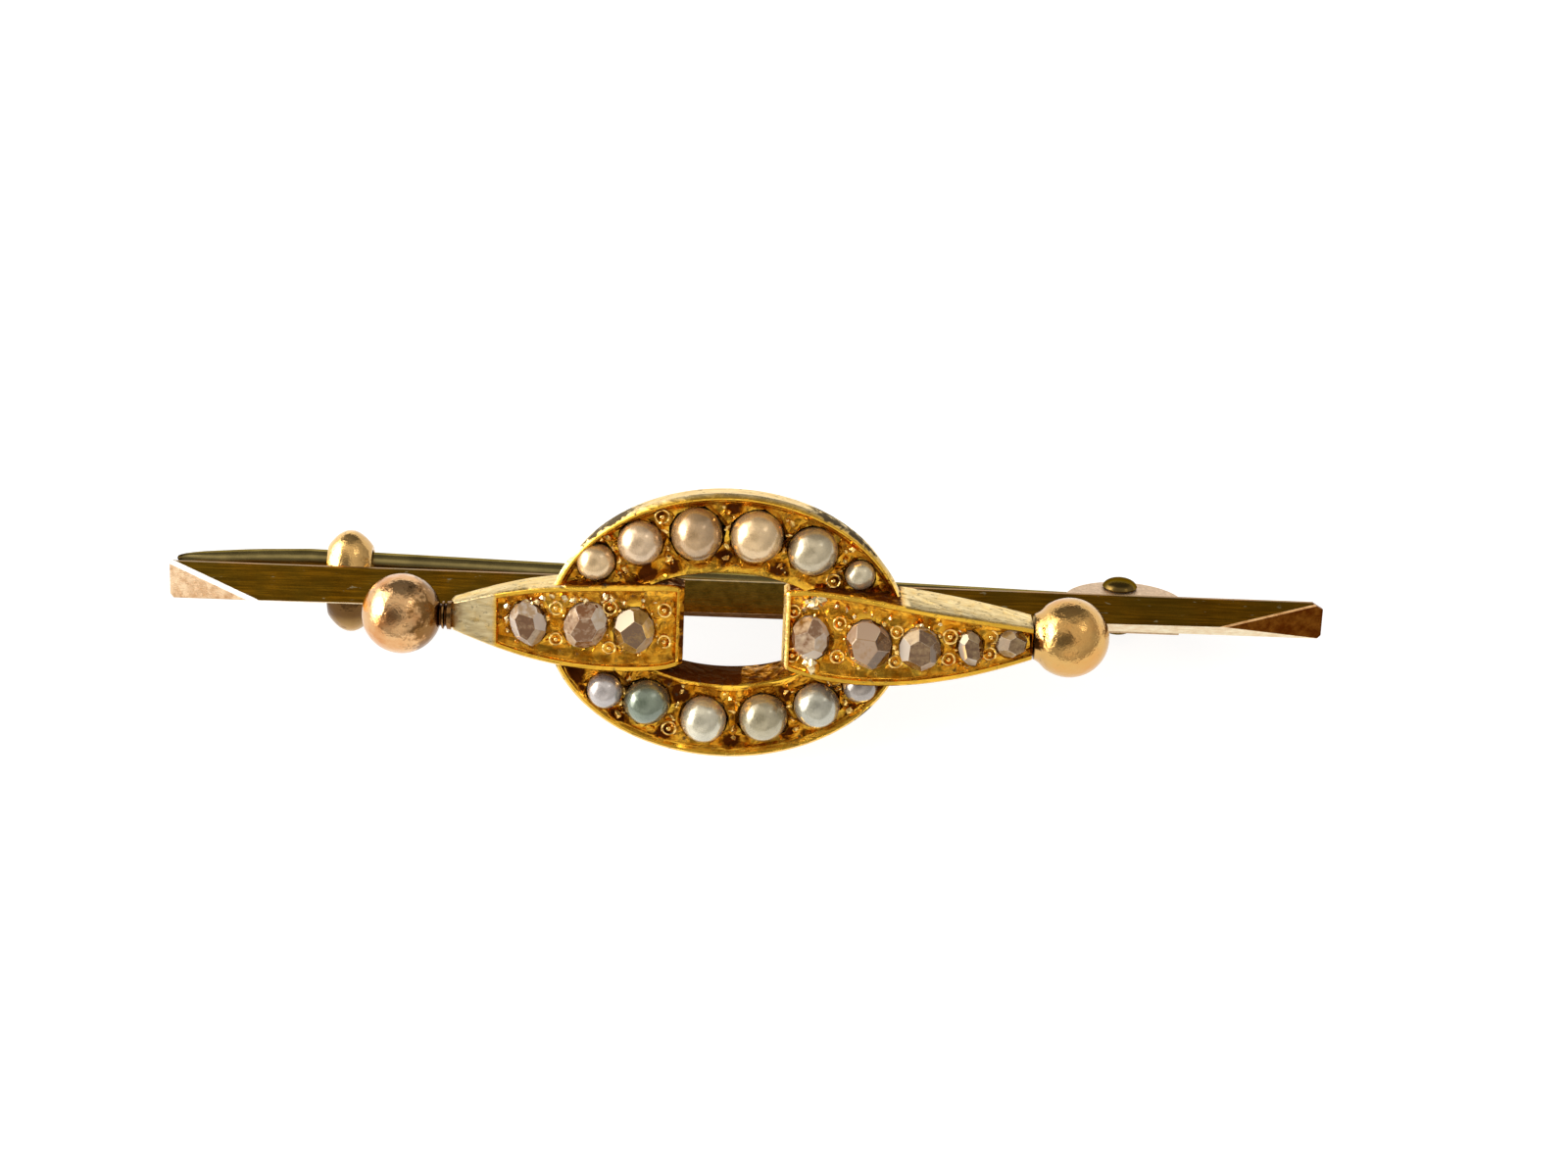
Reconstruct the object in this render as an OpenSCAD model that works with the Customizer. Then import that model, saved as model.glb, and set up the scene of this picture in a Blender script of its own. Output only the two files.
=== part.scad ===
// Gold bar brooch with an oval ring of seed pearls held between two arched straps of rose-cut diamonds.
// The brooch is drawn face up (bar along X, face towards +Z) and is then laid down the way it rests:
// on the lower back edge of the ring, on the catch and on the hinge.

/* [Bar] */
// Overall length of the bar
bar_l = 45; // [40:0.5:55]
// Width of the bar across its flat back
bar_w = 1.5; // [1.4:0.05:2]
// Height of the knife edge above the back
bar_h = 1.3; // [1.1:0.05:1.6]
// Height of the upright edge along each side
bar_edge = 0.15; // [0.1:0.01:0.3]
// Length of the slanting facet at the left end
hip_left = 3.45; // [2:0.05:5]
// Length of the slanting facet at the right end
hip_right = 4; // [2:0.05:5]

/* [Ring] */
// Place of the ring's centre along the bar
ring_x = -0.7; // [-2:0.1:2]
// Length of the ring
ring_l = 13.8; // [13:0.1:14.4]
// Width of the ring
ring_w = 10.6; // [10.4:0.1:11.4]
// Thickness of the ring from back to face
ring_t = 2; // [1.8:0.05:2.4]
// How far the outer wall leans in towards the back
ring_lean = 0.3; // [0:0.05:0.4]
// Length of the oval window
window_l = 8.4; // [8:0.1:9]
// Width of the oval window
window_w = 4.5; // [4.2:0.1:4.6]
// Width of the raised border round the pearls
rim_w = 0.3; // [0.2:0.02:0.35]
// Depth of the sunk floor below the border
floor_drop = 0.28; // [0.15:0.01:0.4]

/* [Straps and balls] */
// Height of the straps' flat back above the bar's back
strap_back = 1.9; // [1.7:0.05:2.1]
// Width of the raised border along the straps
strap_rim = 0.26; // [0.18:0.02:0.3]
// Diameter of the polished balls
ball_d = 3.06; // [2.6:0.02:3.2]
// Place of the left ball along the bar
ball_left_x = -13.12; // [-14:0.02:-12.8]
// Place of the right ball along the bar
ball_right_x = 12.42; // [12.3:0.02:13.5]
// Diameter of the neck between a strap and its ball
neck_d = 0.9; // [0.7:0.05:1.1]
// Diameter of the gold grains between the stones
grain_d = 0.42; // [0.3:0.02:0.5]

/* [Pearls and stones] */
// Gap between a pearl or stone and its seat
seat_gap = 0.03; // [0.02:0.01:0.05]
// Height of a stone above its flat back, as a share of its width
stone_rise = 0.42; // [0.3:0.01:0.5]

/* [Hinge and pin] */
// Place of the hinge along the bar
hinge_x = 14.65; // [14:0.05:16]
// Radius of the two round hinge ears
ear_r = 2.32; // [2:0.02:2.6]
// How far the ears reach behind the bar
ear_depth = 1.77; // [1.7:0.01:2]
// Thickness of one ear
ear_t = 0.3; // [0.25:0.01:0.34]
// Height of the rivet behind the bar's back
rivet_drop = 1.05; // [1:0.01:1.1]
// Diameter of the rivet's shank
rivet_d = 0.6; // [0.5:0.02:0.66]
// Diameter of the rivet's domed heads
head_d = 1.36; // [1:0.02:1.5]
// Height of a domed head above its ear
head_h = 0.36; // [0.2:0.02:0.45]
// Play between the rivet and the holes that it passes through
hinge_play = 0.03; // [0.02:0.01:0.05]
// Diameter of the knuckle at the end of the pin
knuckle_d = 1.44; // [1.3:0.02:1.6]
// Diameter of the pin stem beside the hinge
pin_d = 0.86; // [0.7:0.02:0.88]
// Diameter of the pin stem at the catch
pin_thin_d = 0.88; // [0.6:0.02:0.9]
// Length of the pin's tapered point
point_l = 3.4; // [3:0.1:6]

/* [Catch] */
// Place of the catch along the bar
catch_x = -15.55; // [-17:0.05:-15]
// Width of the catch's strip along the bar
catch_w = 1.75; // [1.4:0.05:2]
// Height of the catch across the bar
catch_h = 4.14; // [4:0.02:4.4]
// How far the catch reaches behind the bar
catch_depth = 2.6; // [2.5:0.02:2.8]
// Thickness of the catch's strip at its crown
catch_t = 0.5; // [0.4:0.02:0.54]
// Width of the mouth that the pin leaves through
mouth_w = 1.12; // [1:0.02:1.2]

/* [Resting attitude] */
// How far the face leans over from straight up when the brooch lies down
lean = 40.47; // [39:0.01:42]
// How far the bar dips towards the hinge
dip = 2.26; // [2:0.01:2.5]

/* [Hidden] */
$fn = 64;
PEARLS = [for (side = ["upper", "lower"], k = [1:6]) str("pearl_", side, "_", k)];
STONES = [for (k = [1:8]) str("rose_diamond_", k)];

// How far two soldered pieces run into each other
join = 0.05;
ring_back = bar_h - join;
ring_face = ring_back + ring_t;
ring_floor = ring_face - floor_drop;
ball_z = bar_h + ball_d / 2 - join;
pearl_z = ring_floor + join;
// Middle of the catch across the bar, and the thickness that its strip thins to at the edges
catch_y = -0.2;
catch_edge_t = 0.1;
// Where the closed pin passes the catch: across the bar, and behind the bar's back
pin_side_at_catch = 0.5;
pin_drop_at_catch = 1.45;
// Free space on each side of the knuckle, between the ears
knuckle_gap = 0.05;
knuckle_w = bar_w - 2 * (ear_t + knuckle_gap);
// The stem is flattened to the knuckle's width up to here, and round beyond
flat_l = 3;
round_start = 2.4;
// How far the point ends short of the bar's end, and the radius of its blunt tip
point_short = 0.14;
tip_r = 0.08;
// How far the straps stand towards the brooch's lower side
strap_shift = 0.06;
// How deep a stone sits in the floor, and how far its upright wall shows above it
stone_sink = 0.2;
stone_wall = 0.06;
// Height of a stone's lower row of facets as a share of the whole,
// and radii of both rows as shares of the stone's
facet_level = 0.72;
facet_r = 0.66;
table_r = 0.2;
// Longest step along a strap's curves, and reach over which its tilt is taken
strap_step = 0.6;
tilt_reach = 0.1;
// Size of cutting blocks, larger than any strap is wide or high
block = 6;

// A row for each seed pearl, from left to right: place along the bar, place across it, diameter
PEARL_X = 0;
PEARL_Y = 1;
PEARL_D = 2;
upper_pearls = [
    [-5.74, 2.46, 1.44],
    [-4.08, 3.30, 1.72],
    [-1.95, 3.72, 2.04],
    [0.33, 3.70, 2.04],
    [2.46, 3.21, 1.88],
    [4.30, 2.32, 1.16],
];
lower_pearls = [
    [-5.30, -2.76, 1.38],
    [-3.68, -3.16, 1.80],
    [-1.48, -3.80, 1.80],
    [0.82, -3.63, 1.88],
    [2.87, -3.06, 1.78],
    [4.50, -2.20, 1.32],
];
pearls = concat(upper_pearls, lower_pearls);

// A row for each cross-section of a strap: place along the bar, height of the face, half of the width
AT_X = 0;
AT_TOP = 1;
AT_HALF = 2;
left_strap = [
    [-11.3, 2.70, 0.54],
    [-10.4, 2.90, 0.84],
    [-9.4, 3.06, 1.15],
    [-8.2, 3.24, 1.44],
    [-6.8, 3.44, 1.64],
    [-5.4, 3.50, 1.74],
    [-4.0, 3.40, 1.76],
    [-3.0, 3.18, 1.72],
    [-2.36, 2.92, 1.58],
];
right_strap = [
    [1.44, 2.95, 1.58],
    [2.3, 3.28, 1.76],
    [3.4, 3.66, 1.81],
    [4.7, 4.02, 1.76],
    [6.0, 4.26, 1.62],
    [7.2, 4.30, 1.44],
    [8.6, 4.12, 1.20],
    [10.0, 3.80, 0.90],
    [11.1, 3.46, 0.64],
];
// Where the sunk floors of the straps start and end. The left strap is plain beside its ball.
left_floor = [-9.5, -2.62];
right_floor = [1.7, 10.97];

// A row for each stone, from left to right: place along the bar, place across it, width, height, turn
STONE_X = 0;
STONE_Y = 1;
STONE_W = 2;
STONE_H = 3;
STONE_TURN = 4;
stones = [
    [-8.27, -0.11, 1.40, 1.80, 15],
    [-6.07, -0.02, 1.62, 1.94, -25],
    [-4.25, -0.18, 1.60, 1.84, 10],
    [2.52, -0.27, 1.46, 1.76, 0],
    [4.74, -0.19, 1.74, 1.94, 20],
    [6.66, -0.19, 1.60, 1.72, 5],
    [8.58, -0.16, 0.96, 1.44, 15],
    [10.14, -0.03, 1.22, 1.12, 0],
];

// A row for each gold grain of the straps: place along the bar, place across it
GRAIN_X = 0;
GRAIN_Y = 1;
grains = [
    [-7.22, 0.58],
    [-7.2, -0.68],
    [-5.16, 0.7],
    [-5.16, -0.92],
    [-3.1, 0.58],
    [-3.08, -0.7],
    [1.84, 0.7],
    [1.84, -1.1],
    [3.6, 0.5],
    [3.56, -0.86],
    [5.76, 0.42],
    [5.76, -0.78],
    [7.78, 0.32],
    [7.76, -0.6],
    [9.34, 0.26],
    [9.32, -0.42],
];

// A row for each cross-section of the pin's point: share of its length, share of the stem's thickness
POINT_ALONG = 0;
POINT_THICK = 1;
point_profile = [
    [0, 1],
    [0.35, 0.87],
    [0.7, 0.58],
    [1, 2 * tip_r / pin_thin_d],
];

// Value of one column of a strap's table at place x, with a smooth curve through the rows
function last_row(t) = len(t) - 1;
function rise(t, c, a, b) = (t[b][c] - t[a][c]) / (t[b][AT_X] - t[a][AT_X]);
function slope_at(t, c, k) = rise(t, c, max(k - 1, 0), min(k + 1, last_row(t)));
function row_before(t, x) = max([for (k = [0:last_row(t) - 1]) if (k == 0 || t[k][AT_X] <= x) k]);
function along(t, c, x) =
    let (k = row_before(t, x), span = t[k + 1][AT_X] - t[k][AT_X], u = (x - t[k][AT_X]) / span)
    (2 * u ^ 3 - 3 * u ^ 2 + 1) * t[k][c]
    + (u ^ 3 - 2 * u ^ 2 + u) * span * slope_at(t, c, k)
    + (3 * u ^ 2 - 2 * u ^ 3) * t[k + 1][c]
    + (u ^ 3 - u ^ 2) * span * slope_at(t, c, k + 1);

function steps_between(from, to, n) = [for (k = [0:n]) from + (to - from) * k / n];
function strap_steps(from, to) = steps_between(from, to, ceil((to - from) / strap_step));
function strap_of(x) = x < ring_x ? left_strap : right_strap;
function floor_at(x) = along(strap_of(x), AT_TOP, x) - floor_drop;
function tilt_at(x) = atan2(floor_at(x + tilt_reach) - floor_at(x - tilt_reach), 2 * tilt_reach);

// An oval disc or cone about Z
module oval(length, width, height, narrower_foot = 0) {
    scale([length / width, 1, 1])
        cylinder(h = height, d1 = width - 2 * narrower_foot, d2 = width);
}

// Everything above or below a curve through the strap's side view, as a slab across the brooch
module strap_side(xs, tops, back) {
    outline = concat(
        [for (k = [0:len(xs) - 1]) [xs[k], tops[k]]],
        [[xs[len(xs) - 1], back], [xs[0], back]]
    );
    rotate([90, 0, 0])
        linear_extrude(height = block, center = true)
            polygon(outline);
}

// The strap's plan, drawn in by an inset on both sides
module strap_plan(t, xs, inset) {
    halves = [for (x = xs) along(t, AT_HALF, x) - inset];
    outline = concat(
        [for (k = [0:len(xs) - 1]) [xs[k], halves[k]]],
        [for (k = [len(xs) - 1:-1:0]) [xs[k], -halves[k]]]
    );
    translate([0, -strap_shift, 0])
        linear_extrude(height = block)
            polygon(outline);
}

module strap(t) {
    xs = strap_steps(t[0][AT_X], t[last_row(t)][AT_X]);
    intersection() {
        strap_side(xs, [for (x = xs) along(t, AT_TOP, x)], strap_back);
        strap_plan(t, xs, 0);
    }
}

// The space over a strap's sunk floor, inside its raised border
module strap_hollow(t, span) {
    xs = strap_steps(span[0], span[1]);
    intersection() {
        strap_side(xs, [for (x = xs) along(t, AT_TOP, x) - floor_drop], block);
        strap_plan(t, xs, strap_rim);
    }
}

// The ring with the straps across its ends. The straps' floors run on through the ring's border.
module ring_and_straps() {
    difference() {
        union() {
            ring();
            strap(left_strap);
            strap(right_strap);
        }
        strap_hollow(left_strap, left_floor);
        strap_hollow(right_strap, right_floor);
    }
}

// The knife-edged bar with a slanting facet at each end
module bar() {
    half = bar_l / 2;
    intersection() {
        rotate([90, 0, 90])
            linear_extrude(height = bar_l, center = true)
                polygon([
                    [-bar_w / 2, 0],
                    [bar_w / 2, 0],
                    [bar_w / 2, bar_edge],
                    [0, bar_h],
                    [-bar_w / 2, bar_edge],
                ]);
        rotate([90, 0, 0])
            linear_extrude(height = 2 * bar_w, center = true)
                polygon([
                    [-half, 0],
                    [half, 0],
                    [half, bar_edge],
                    [half - hip_right, bar_h],
                    [hip_left - half, bar_h],
                    [-half, bar_edge],
                ]);
    }
}

// The oval ring with its sunk floor
module ring() {
    translate([ring_x, 0, ring_back])
        difference() {
            oval(ring_l, ring_w, ring_t, ring_lean);
            translate([0, 0, -1])
                oval(window_l, window_w, ring_t + 2);
            translate([0, 0, ring_t - floor_drop])
                difference() {
                    oval(ring_l - 2 * rim_w, ring_w - 2 * rim_w, 1);
                    oval(window_l + 2 * rim_w, window_w + 2 * rim_w, 1);
                }
        }
}

module ball(x, strap_end) {
    translate([x, 0, ball_z])
        sphere(d = ball_d);
    translate([min(x, strap_end), 0, ball_z])
        rotate([0, 90, 0])
            cylinder(h = abs(x - strap_end), d = neck_d);
}

module balls() {
    ball(ball_left_x, left_strap[0][AT_X] + join);
    ball(ball_right_x, right_strap[last_row(right_strap)][AT_X] - join);
}

module strap_grains() {
    for (g = grains)
        translate([g[GRAIN_X], g[GRAIN_Y], floor_at(g[GRAIN_X]) + join])
            sphere(d = grain_d);
}

// The round ears that hold the rivet, flush with the sides of the bar
module ears() {
    for (side = [-1, 1])
        translate([hinge_x, side * (bar_w - ear_t) / 2, 0])
            intersection() {
                translate([0, 0, ear_r - ear_depth])
                    rotate([90, 0, 0])
                        cylinder(h = ear_t, r = ear_r, center = true);
                translate([0, 0, join - ear_r])
                    cube([4 * ear_r, 1, 2 * ear_r], center = true);
            }
}

// The domed strip bent to a C behind the bar, with its mouth to the back
module catch() {
    outer_r = catch_depth / 2;
    crown_drop = catch_t - catch_edge_t;
    crown_r = ((catch_w / 2) ^ 2 + crown_drop ^ 2) / (2 * crown_drop);
    translate([catch_x, catch_y, join - outer_r])
        difference() {
            scale([1, catch_h / catch_depth, 1])
                rotate([0, 90, 0])
                    rotate_extrude()
                        intersection() {
                            translate([outer_r - crown_r, 0])
                                circle(r = crown_r);
                            translate([outer_r - catch_t, -catch_w / 2])
                                square([catch_t, catch_w]);
                        }
            translate([-catch_w, pin_side_at_catch - catch_y - mouth_w / 2, -2 * outer_r])
                cube([2 * catch_w, mouth_w, 2 * outer_r]);
        }
}

module pearl_seats() {
    for (p = pearls)
        translate([p[PEARL_X], p[PEARL_Y], pearl_z])
            sphere(d = p[PEARL_D] + 2 * seat_gap);
}

// Stands a child on the strap's floor at a stone's place, square to the floor
module at_stone(s) {
    translate([s[STONE_X], s[STONE_Y], floor_at(s[STONE_X])])
        rotate([0, -tilt_at(s[STONE_X]), 0])
            rotate([0, 0, s[STONE_TURN]])
                children();
}

module stone_seats() {
    for (s = stones)
        at_stone(s)
            translate([0, 0, -stone_sink - seat_gap])
                oval(s[STONE_W] + 2 * seat_gap, s[STONE_H] + 2 * seat_gap, 1);
}

module rivet_hole() {
    translate([hinge_x, 0, -rivet_drop])
        rotate([90, 0, 0])
            cylinder(h = 2 * bar_w, d = rivet_d + 2 * hinge_play, center = true);
}

module gold_frame() {
    color("goldenrod")
        difference() {
            union() {
                bar();
                ring_and_straps();
                balls();
                strap_grains();
                ears();
                catch();
            }
            pearl_seats();
            stone_seats();
            rivet_hole();
        }
}

module hinge_rivet() {
    dome_r = ((head_d / 2) ^ 2 + head_h ^ 2) / (2 * head_h);
    color("darkkhaki")
        translate([hinge_x, 0, -rivet_drop]) {
            rotate([90, 0, 0])
                cylinder(h = bar_w + 2 * (hinge_play + join), d = rivet_d, center = true);
            for (side = [-1, 1])
                intersection() {
                    translate([0, side * (bar_w / 2 + hinge_play + head_h - dome_r), 0])
                        sphere(r = dome_r);
                    translate([0, side * (bar_w / 2 + hinge_play + head_h / 2), 0])
                        cube([2 * head_d, head_h, 2 * head_d], center = true);
                }
        }
}

module pin_stem() {
    reach = hinge_x - catch_x;
    turn = atan2(pin_side_at_catch, reach);
    sink = atan2(pin_drop_at_catch - rivet_drop, reach);
    length = hinge_x + bar_l / 2 - point_short;
    color("darkseagreen")
        translate([hinge_x, 0, -rivet_drop])
            difference() {
                union() {
                    rotate([90, 0, 0])
                        cylinder(h = knuckle_w, d = knuckle_d, center = true);
                    rotate([0, -90 - sink, -turn])
                        pin_shaft(length);
                    intersection() {
                        rotate([0, -90 - sink, -turn])
                            cylinder(h = flat_l, d = pin_d);
                        cube([3 * flat_l, knuckle_w, 2 * knuckle_d], center = true);
                    }
                }
                rotate([90, 0, 0])
                    cylinder(h = 2 * bar_w, d = rivet_d + 2 * hinge_play, center = true);
            }
}

// The round shaft beyond the ears, with its rounded point
module pin_shaft(length) {
    taper_start = length - point_l;
    translate([0, 0, round_start])
        cylinder(h = taper_start - round_start, d1 = pin_d, d2 = pin_thin_d);
    for (k = [0:len(point_profile) - 2]) {
        from = point_profile[k];
        to = point_profile[k + 1];
        translate([0, 0, taper_start + from[POINT_ALONG] * point_l])
            cylinder(
                h = (to[POINT_ALONG] - from[POINT_ALONG]) * point_l,
                d1 = from[POINT_THICK] * pin_thin_d,
                d2 = to[POINT_THICK] * pin_thin_d
            );
    }
    translate([0, 0, length])
        sphere(r = tip_r);
}

module pearl(p) {
    color("seashell")
        translate([p[PEARL_X], p[PEARL_Y], pearl_z])
            sphere(d = p[PEARL_D]);
}

// A rose-cut stone: flat back, low wall, two rows of facets and a small table
module rose_stone(s) {
    height = stone_sink + stone_rise * s[STONE_W];
    color("lightgray")
        at_stone(s)
            translate([0, 0, -stone_sink])
                scale([s[STONE_W] / 2, s[STONE_H] / 2, 1])
                    hull() {
                        cylinder(h = stone_sink + stone_wall, r = 1, $fn = 12);
                        rotate([0, 0, 15])
                            cylinder(h = facet_level * height, r = facet_r, $fn = 6);
                        cylinder(h = height, r = table_r, $fn = 6);
                    }
}

// Lays the brooch down in the attitude in which it rests, centred over the origin.
// The ring's back edge carries it at the front, the catch and the hinge ears behind.
module lay_down() {
    foot_w = ring_w / 2 - ring_lean;
    foot_l = foot_w * ring_l / ring_w;
    up = [-sin(dip) * cos(lean), sin(lean), cos(dip) * cos(lean)];
    back = [sin(dip) * sin(lean), cos(lean), -cos(dip) * sin(lean)];
    height = norm([foot_l * up.x, foot_w * up.y]) - up * [ring_x, 0, ring_back];
    nearest = back * [ring_x, 0, ring_face] - norm([ring_l / 2 * back.x, ring_w / 2 * back.y]);
    farthest = back * [ring_x, 0, ring_back] + norm([foot_l * back.x, foot_w * back.y]);
    translate([0, -(nearest + farthest) / 2, height])
        rotate([lean, 0, 0])
            rotate([0, dip, 0])
                children();
}

lay_down() gold_frame();
lay_down() pin_stem();
lay_down() hinge_rivet();
for (k = [0:len(pearls) - 1])
    lay_down() pearl(pearls[k]);
for (k = [0:len(stones) - 1])
    lay_down() rose_stone(stones[k]);
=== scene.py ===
"""Pearl bar brooch: the finished look of an old gold bar brooch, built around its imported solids."""

import math
import random
from types import SimpleNamespace

import bmesh
import bpy
from bpy.props import BoolProperty, FloatProperty, FloatVectorProperty, PointerProperty
from mathutils import Matrix, Vector, noise


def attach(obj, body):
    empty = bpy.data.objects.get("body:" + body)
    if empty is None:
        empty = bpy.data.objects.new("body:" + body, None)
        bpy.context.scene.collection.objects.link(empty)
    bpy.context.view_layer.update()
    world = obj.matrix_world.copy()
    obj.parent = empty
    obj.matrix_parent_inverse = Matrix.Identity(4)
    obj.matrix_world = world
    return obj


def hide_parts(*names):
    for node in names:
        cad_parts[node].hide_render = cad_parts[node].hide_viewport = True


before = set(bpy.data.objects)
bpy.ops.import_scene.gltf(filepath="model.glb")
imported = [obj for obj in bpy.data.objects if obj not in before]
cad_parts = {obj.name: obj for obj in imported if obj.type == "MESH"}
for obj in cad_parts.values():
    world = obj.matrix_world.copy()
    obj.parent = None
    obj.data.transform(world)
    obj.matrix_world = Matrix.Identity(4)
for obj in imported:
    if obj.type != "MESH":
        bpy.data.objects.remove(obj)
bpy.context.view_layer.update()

bl_info = {
    "name": "Pearl Bar Brooch",
    "version": (1, 0, 0),
    "blender": (4, 5, 0),
    "location": "3D View > Sidebar > Brooch",
    "description": "Models a gold bar brooch with seed pearls and rose-cut stones, lying on a table",
    "category": "Object",
}

BODY = "brooch"
PIN_BODY = "pin"
MM = 0.001
UP = Vector((0, 0, 1))


def table(columns, *lines):
    """A table's rows with their columns by name."""
    return [SimpleNamespace(**dict(zip(columns.split(), line))) for line in lines]


# Tables. All lengths in them are millimetres in the brooch's own frame:
# x along the bar, y across it, z up from the bar's flat back.

PEARLS = table(
    "node x y d tint stretch squash turn",
    ("pearl_upper_1", -5.74, 2.46, 1.44, "cream", 1.02, 0.97, 20),
    ("pearl_upper_2", -4.08, 3.30, 1.72, "blush", 1.00, 1.00, 0),
    ("pearl_upper_3", -1.95, 3.72, 2.04, "rose", 0.96, 1.02, 5),
    ("pearl_upper_4", 0.33, 3.70, 2.04, "cream", 1.00, 0.99, 40),
    ("pearl_upper_5", 2.46, 3.21, 1.88, "sage", 1.02, 0.99, 30),
    ("pearl_upper_6", 4.30, 2.32, 1.16, "celadon", 1.00, 1.00, 0),
    ("pearl_lower_1", -5.30, -2.76, 1.38, "lilac", 0.99, 1.02, 10),
    ("pearl_lower_2", -3.68, -3.16, 1.80, "teal", 1.00, 0.98, 0),
    ("pearl_lower_3", -1.48, -3.80, 1.80, "silver", 0.98, 1.02, 0),
    ("pearl_lower_4", 0.82, -3.63, 1.88, "moss", 1.00, 1.00, 0),
    ("pearl_lower_5", 2.87, -3.06, 1.78, "slate", 1.00, 1.01, 15),
    ("pearl_lower_6", 4.50, -2.20, 1.32, "dusk", 1.02, 0.98, 0),
)

STONES = table(
    "node x y w h turn tint",
    ("rose_diamond_1", -8.27, -0.11, 1.40, 1.80, 15, "lilac"),
    ("rose_diamond_2", -6.07, -0.02, 1.62, 1.94, -25, "clear"),
    ("rose_diamond_3", -4.25, -0.18, 1.60, 1.84, 10, "olive"),
    ("rose_diamond_4", 2.52, -0.27, 1.46, 1.76, 0, "clear"),
    ("rose_diamond_5", 4.74, -0.19, 1.74, 1.94, 20, "amber"),
    ("rose_diamond_6", 6.66, -0.19, 1.60, 1.72, 5, "grey"),
    ("rose_diamond_7", 8.58, -0.16, 0.96, 1.44, 15, "grey"),
    ("rose_diamond_8", 10.14, -0.03, 1.22, 1.12, 0, "grey"),
)

LEFT_STRAP = table(
    "x top half",
    (-11.3, 2.70, 0.54), (-10.4, 2.90, 0.84), (-9.4, 3.06, 1.15), (-8.2, 3.24, 1.44), (-6.8, 3.44, 1.64),
    (-5.4, 3.50, 1.74), (-4.0, 3.40, 1.76), (-3.0, 3.18, 1.72), (-2.36, 2.92, 1.58),
)
RIGHT_STRAP = table(
    "x top half",
    (1.44, 2.95, 1.58), (2.3, 3.28, 1.76), (3.4, 3.66, 1.81), (4.7, 4.02, 1.76), (6.0, 4.26, 1.62),
    (7.2, 4.30, 1.44), (8.6, 4.12, 1.20), (10.0, 3.80, 0.90), (11.1, 3.46, 0.64),
)
# Where the straps' sunk floors start and end
LEFT_FLOOR = (-9.5, -2.62)
RIGHT_FLOOR = (1.7, 10.97)
# Between these the straps' walls stand on the ring
OVER_RING = (-7.0, 6.0)

# Round grains on the straps' floors, all of one size
GRAIN = 0.42
LEFT_GRAINS = table(
    "x y",
    (-7.22, 0.58), (-7.20, -0.68), (-5.16, 0.70), (-5.16, -0.92), (-3.10, 0.58), (-3.08, -0.70),
)
RIGHT_GRAINS = table(
    "x y",
    (1.84, 0.70), (1.84, -1.10), (3.60, 0.50), (3.56, -0.86), (5.76, 0.42),
    (5.76, -0.78), (7.78, 0.32), (7.76, -0.60), (9.34, 0.26), (9.32, -0.42),
)

# Bands of small bright chips on the straps, painted pale as glints: from where to where along the bar,
# between which shares of the strap's half width, how many chips and how big
LEFT_SPARKS = table(
    "start stop low high count size",
    (-8.4, -7.4, 0.50, 0.72, 4, 0.34),
    (-7.4, -5.0, 0.54, 0.74, 13, 0.36),
    (-5.0, -3.4, 0.54, 0.74, 4, 0.28),
    (-9.2, -8.8, -0.40, 0.50, 5, 0.36),
)
RIGHT_SPARKS = table(
    "start stop low high count size",
    (1.95, 2.9, 0.60, 0.84, 9, 0.62),
    (1.95, 2.7, -0.84, -0.60, 5, 0.56),
    (3.2, 5.0, 0.50, 0.72, 5, 0.28),
    (5.2, 8.5, 0.40, 0.65, 4, 0.26),
)

# The straps with their seeds for random draws. Left of plain_until they are filed plain and painted pale, partly
# their grain and partly reflected light.
STRAPS = table(
    "name outline floor grains sparks floor_seed seat_seed grain_seed plain_until",
    ("left", LEFT_STRAP, LEFT_FLOOR, LEFT_GRAINS, LEFT_SPARKS, 31, 21, 7, LEFT_FLOOR[0] - 0.1),
    ("right", RIGHT_STRAP, RIGHT_FLOOR, RIGHT_GRAINS, RIGHT_SPARKS, 41, 22, 8, RIGHT_STRAP[0].x),
)

# The balls' necks, outwards from the ball: distance from its centre, radius, and how dark the metal is painted,
# as shade.
# The first row is where the ball ends.
GROOVED_NECK = table(
    "distance radius dark",
    (0, 0.50, 0), (1.47, 0.43, 1), (1.52, 0.42, 1), (1.56, 0.53, 0), (1.62, 0.54, 0),
    (1.66, 0.43, 1), (1.71, 0.42, 1), (1.75, 0.54, 0), (1.9, 0.56, 0),
)
FLARED_NECK = table(
    "distance radius dark",
    (0, 1.22, 0), (1.01, 1.13, 0), (1.10, 1.04, 0), (1.18, 0.97, 0), (1.26, 0.92, 0),
    (1.33, 0.89, 0), (1.38, 0.87, 1), (1.44, 0.6, 1), (1.54, 0.5, 1),
)

# The pin's point: share of its length, and its thickness there as a share of the stem's
POINT_TAPER = table(
    "share thickness",
    (0.2, 0.97), (0.4, 0.91), (0.56, 0.84), (0.7, 0.73), (0.82, 0.60), (0.92, 0.45), (0.97, 0.34),
)

# Grey tarnish on the ring's outer wall: place and reach
WALL_STAINS = table(
    "x y reach",
    (-5.0, 3.9, 1.3), (-5.7, 3.4, 0.9), (3.2, 4.5, 1.2), (4.4, 3.8, 1.2),
    (6.2, 1.5, 0.8), (-6.6, -1.6, 0.8), (4.9, -3.6, 0.9),
)
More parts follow.
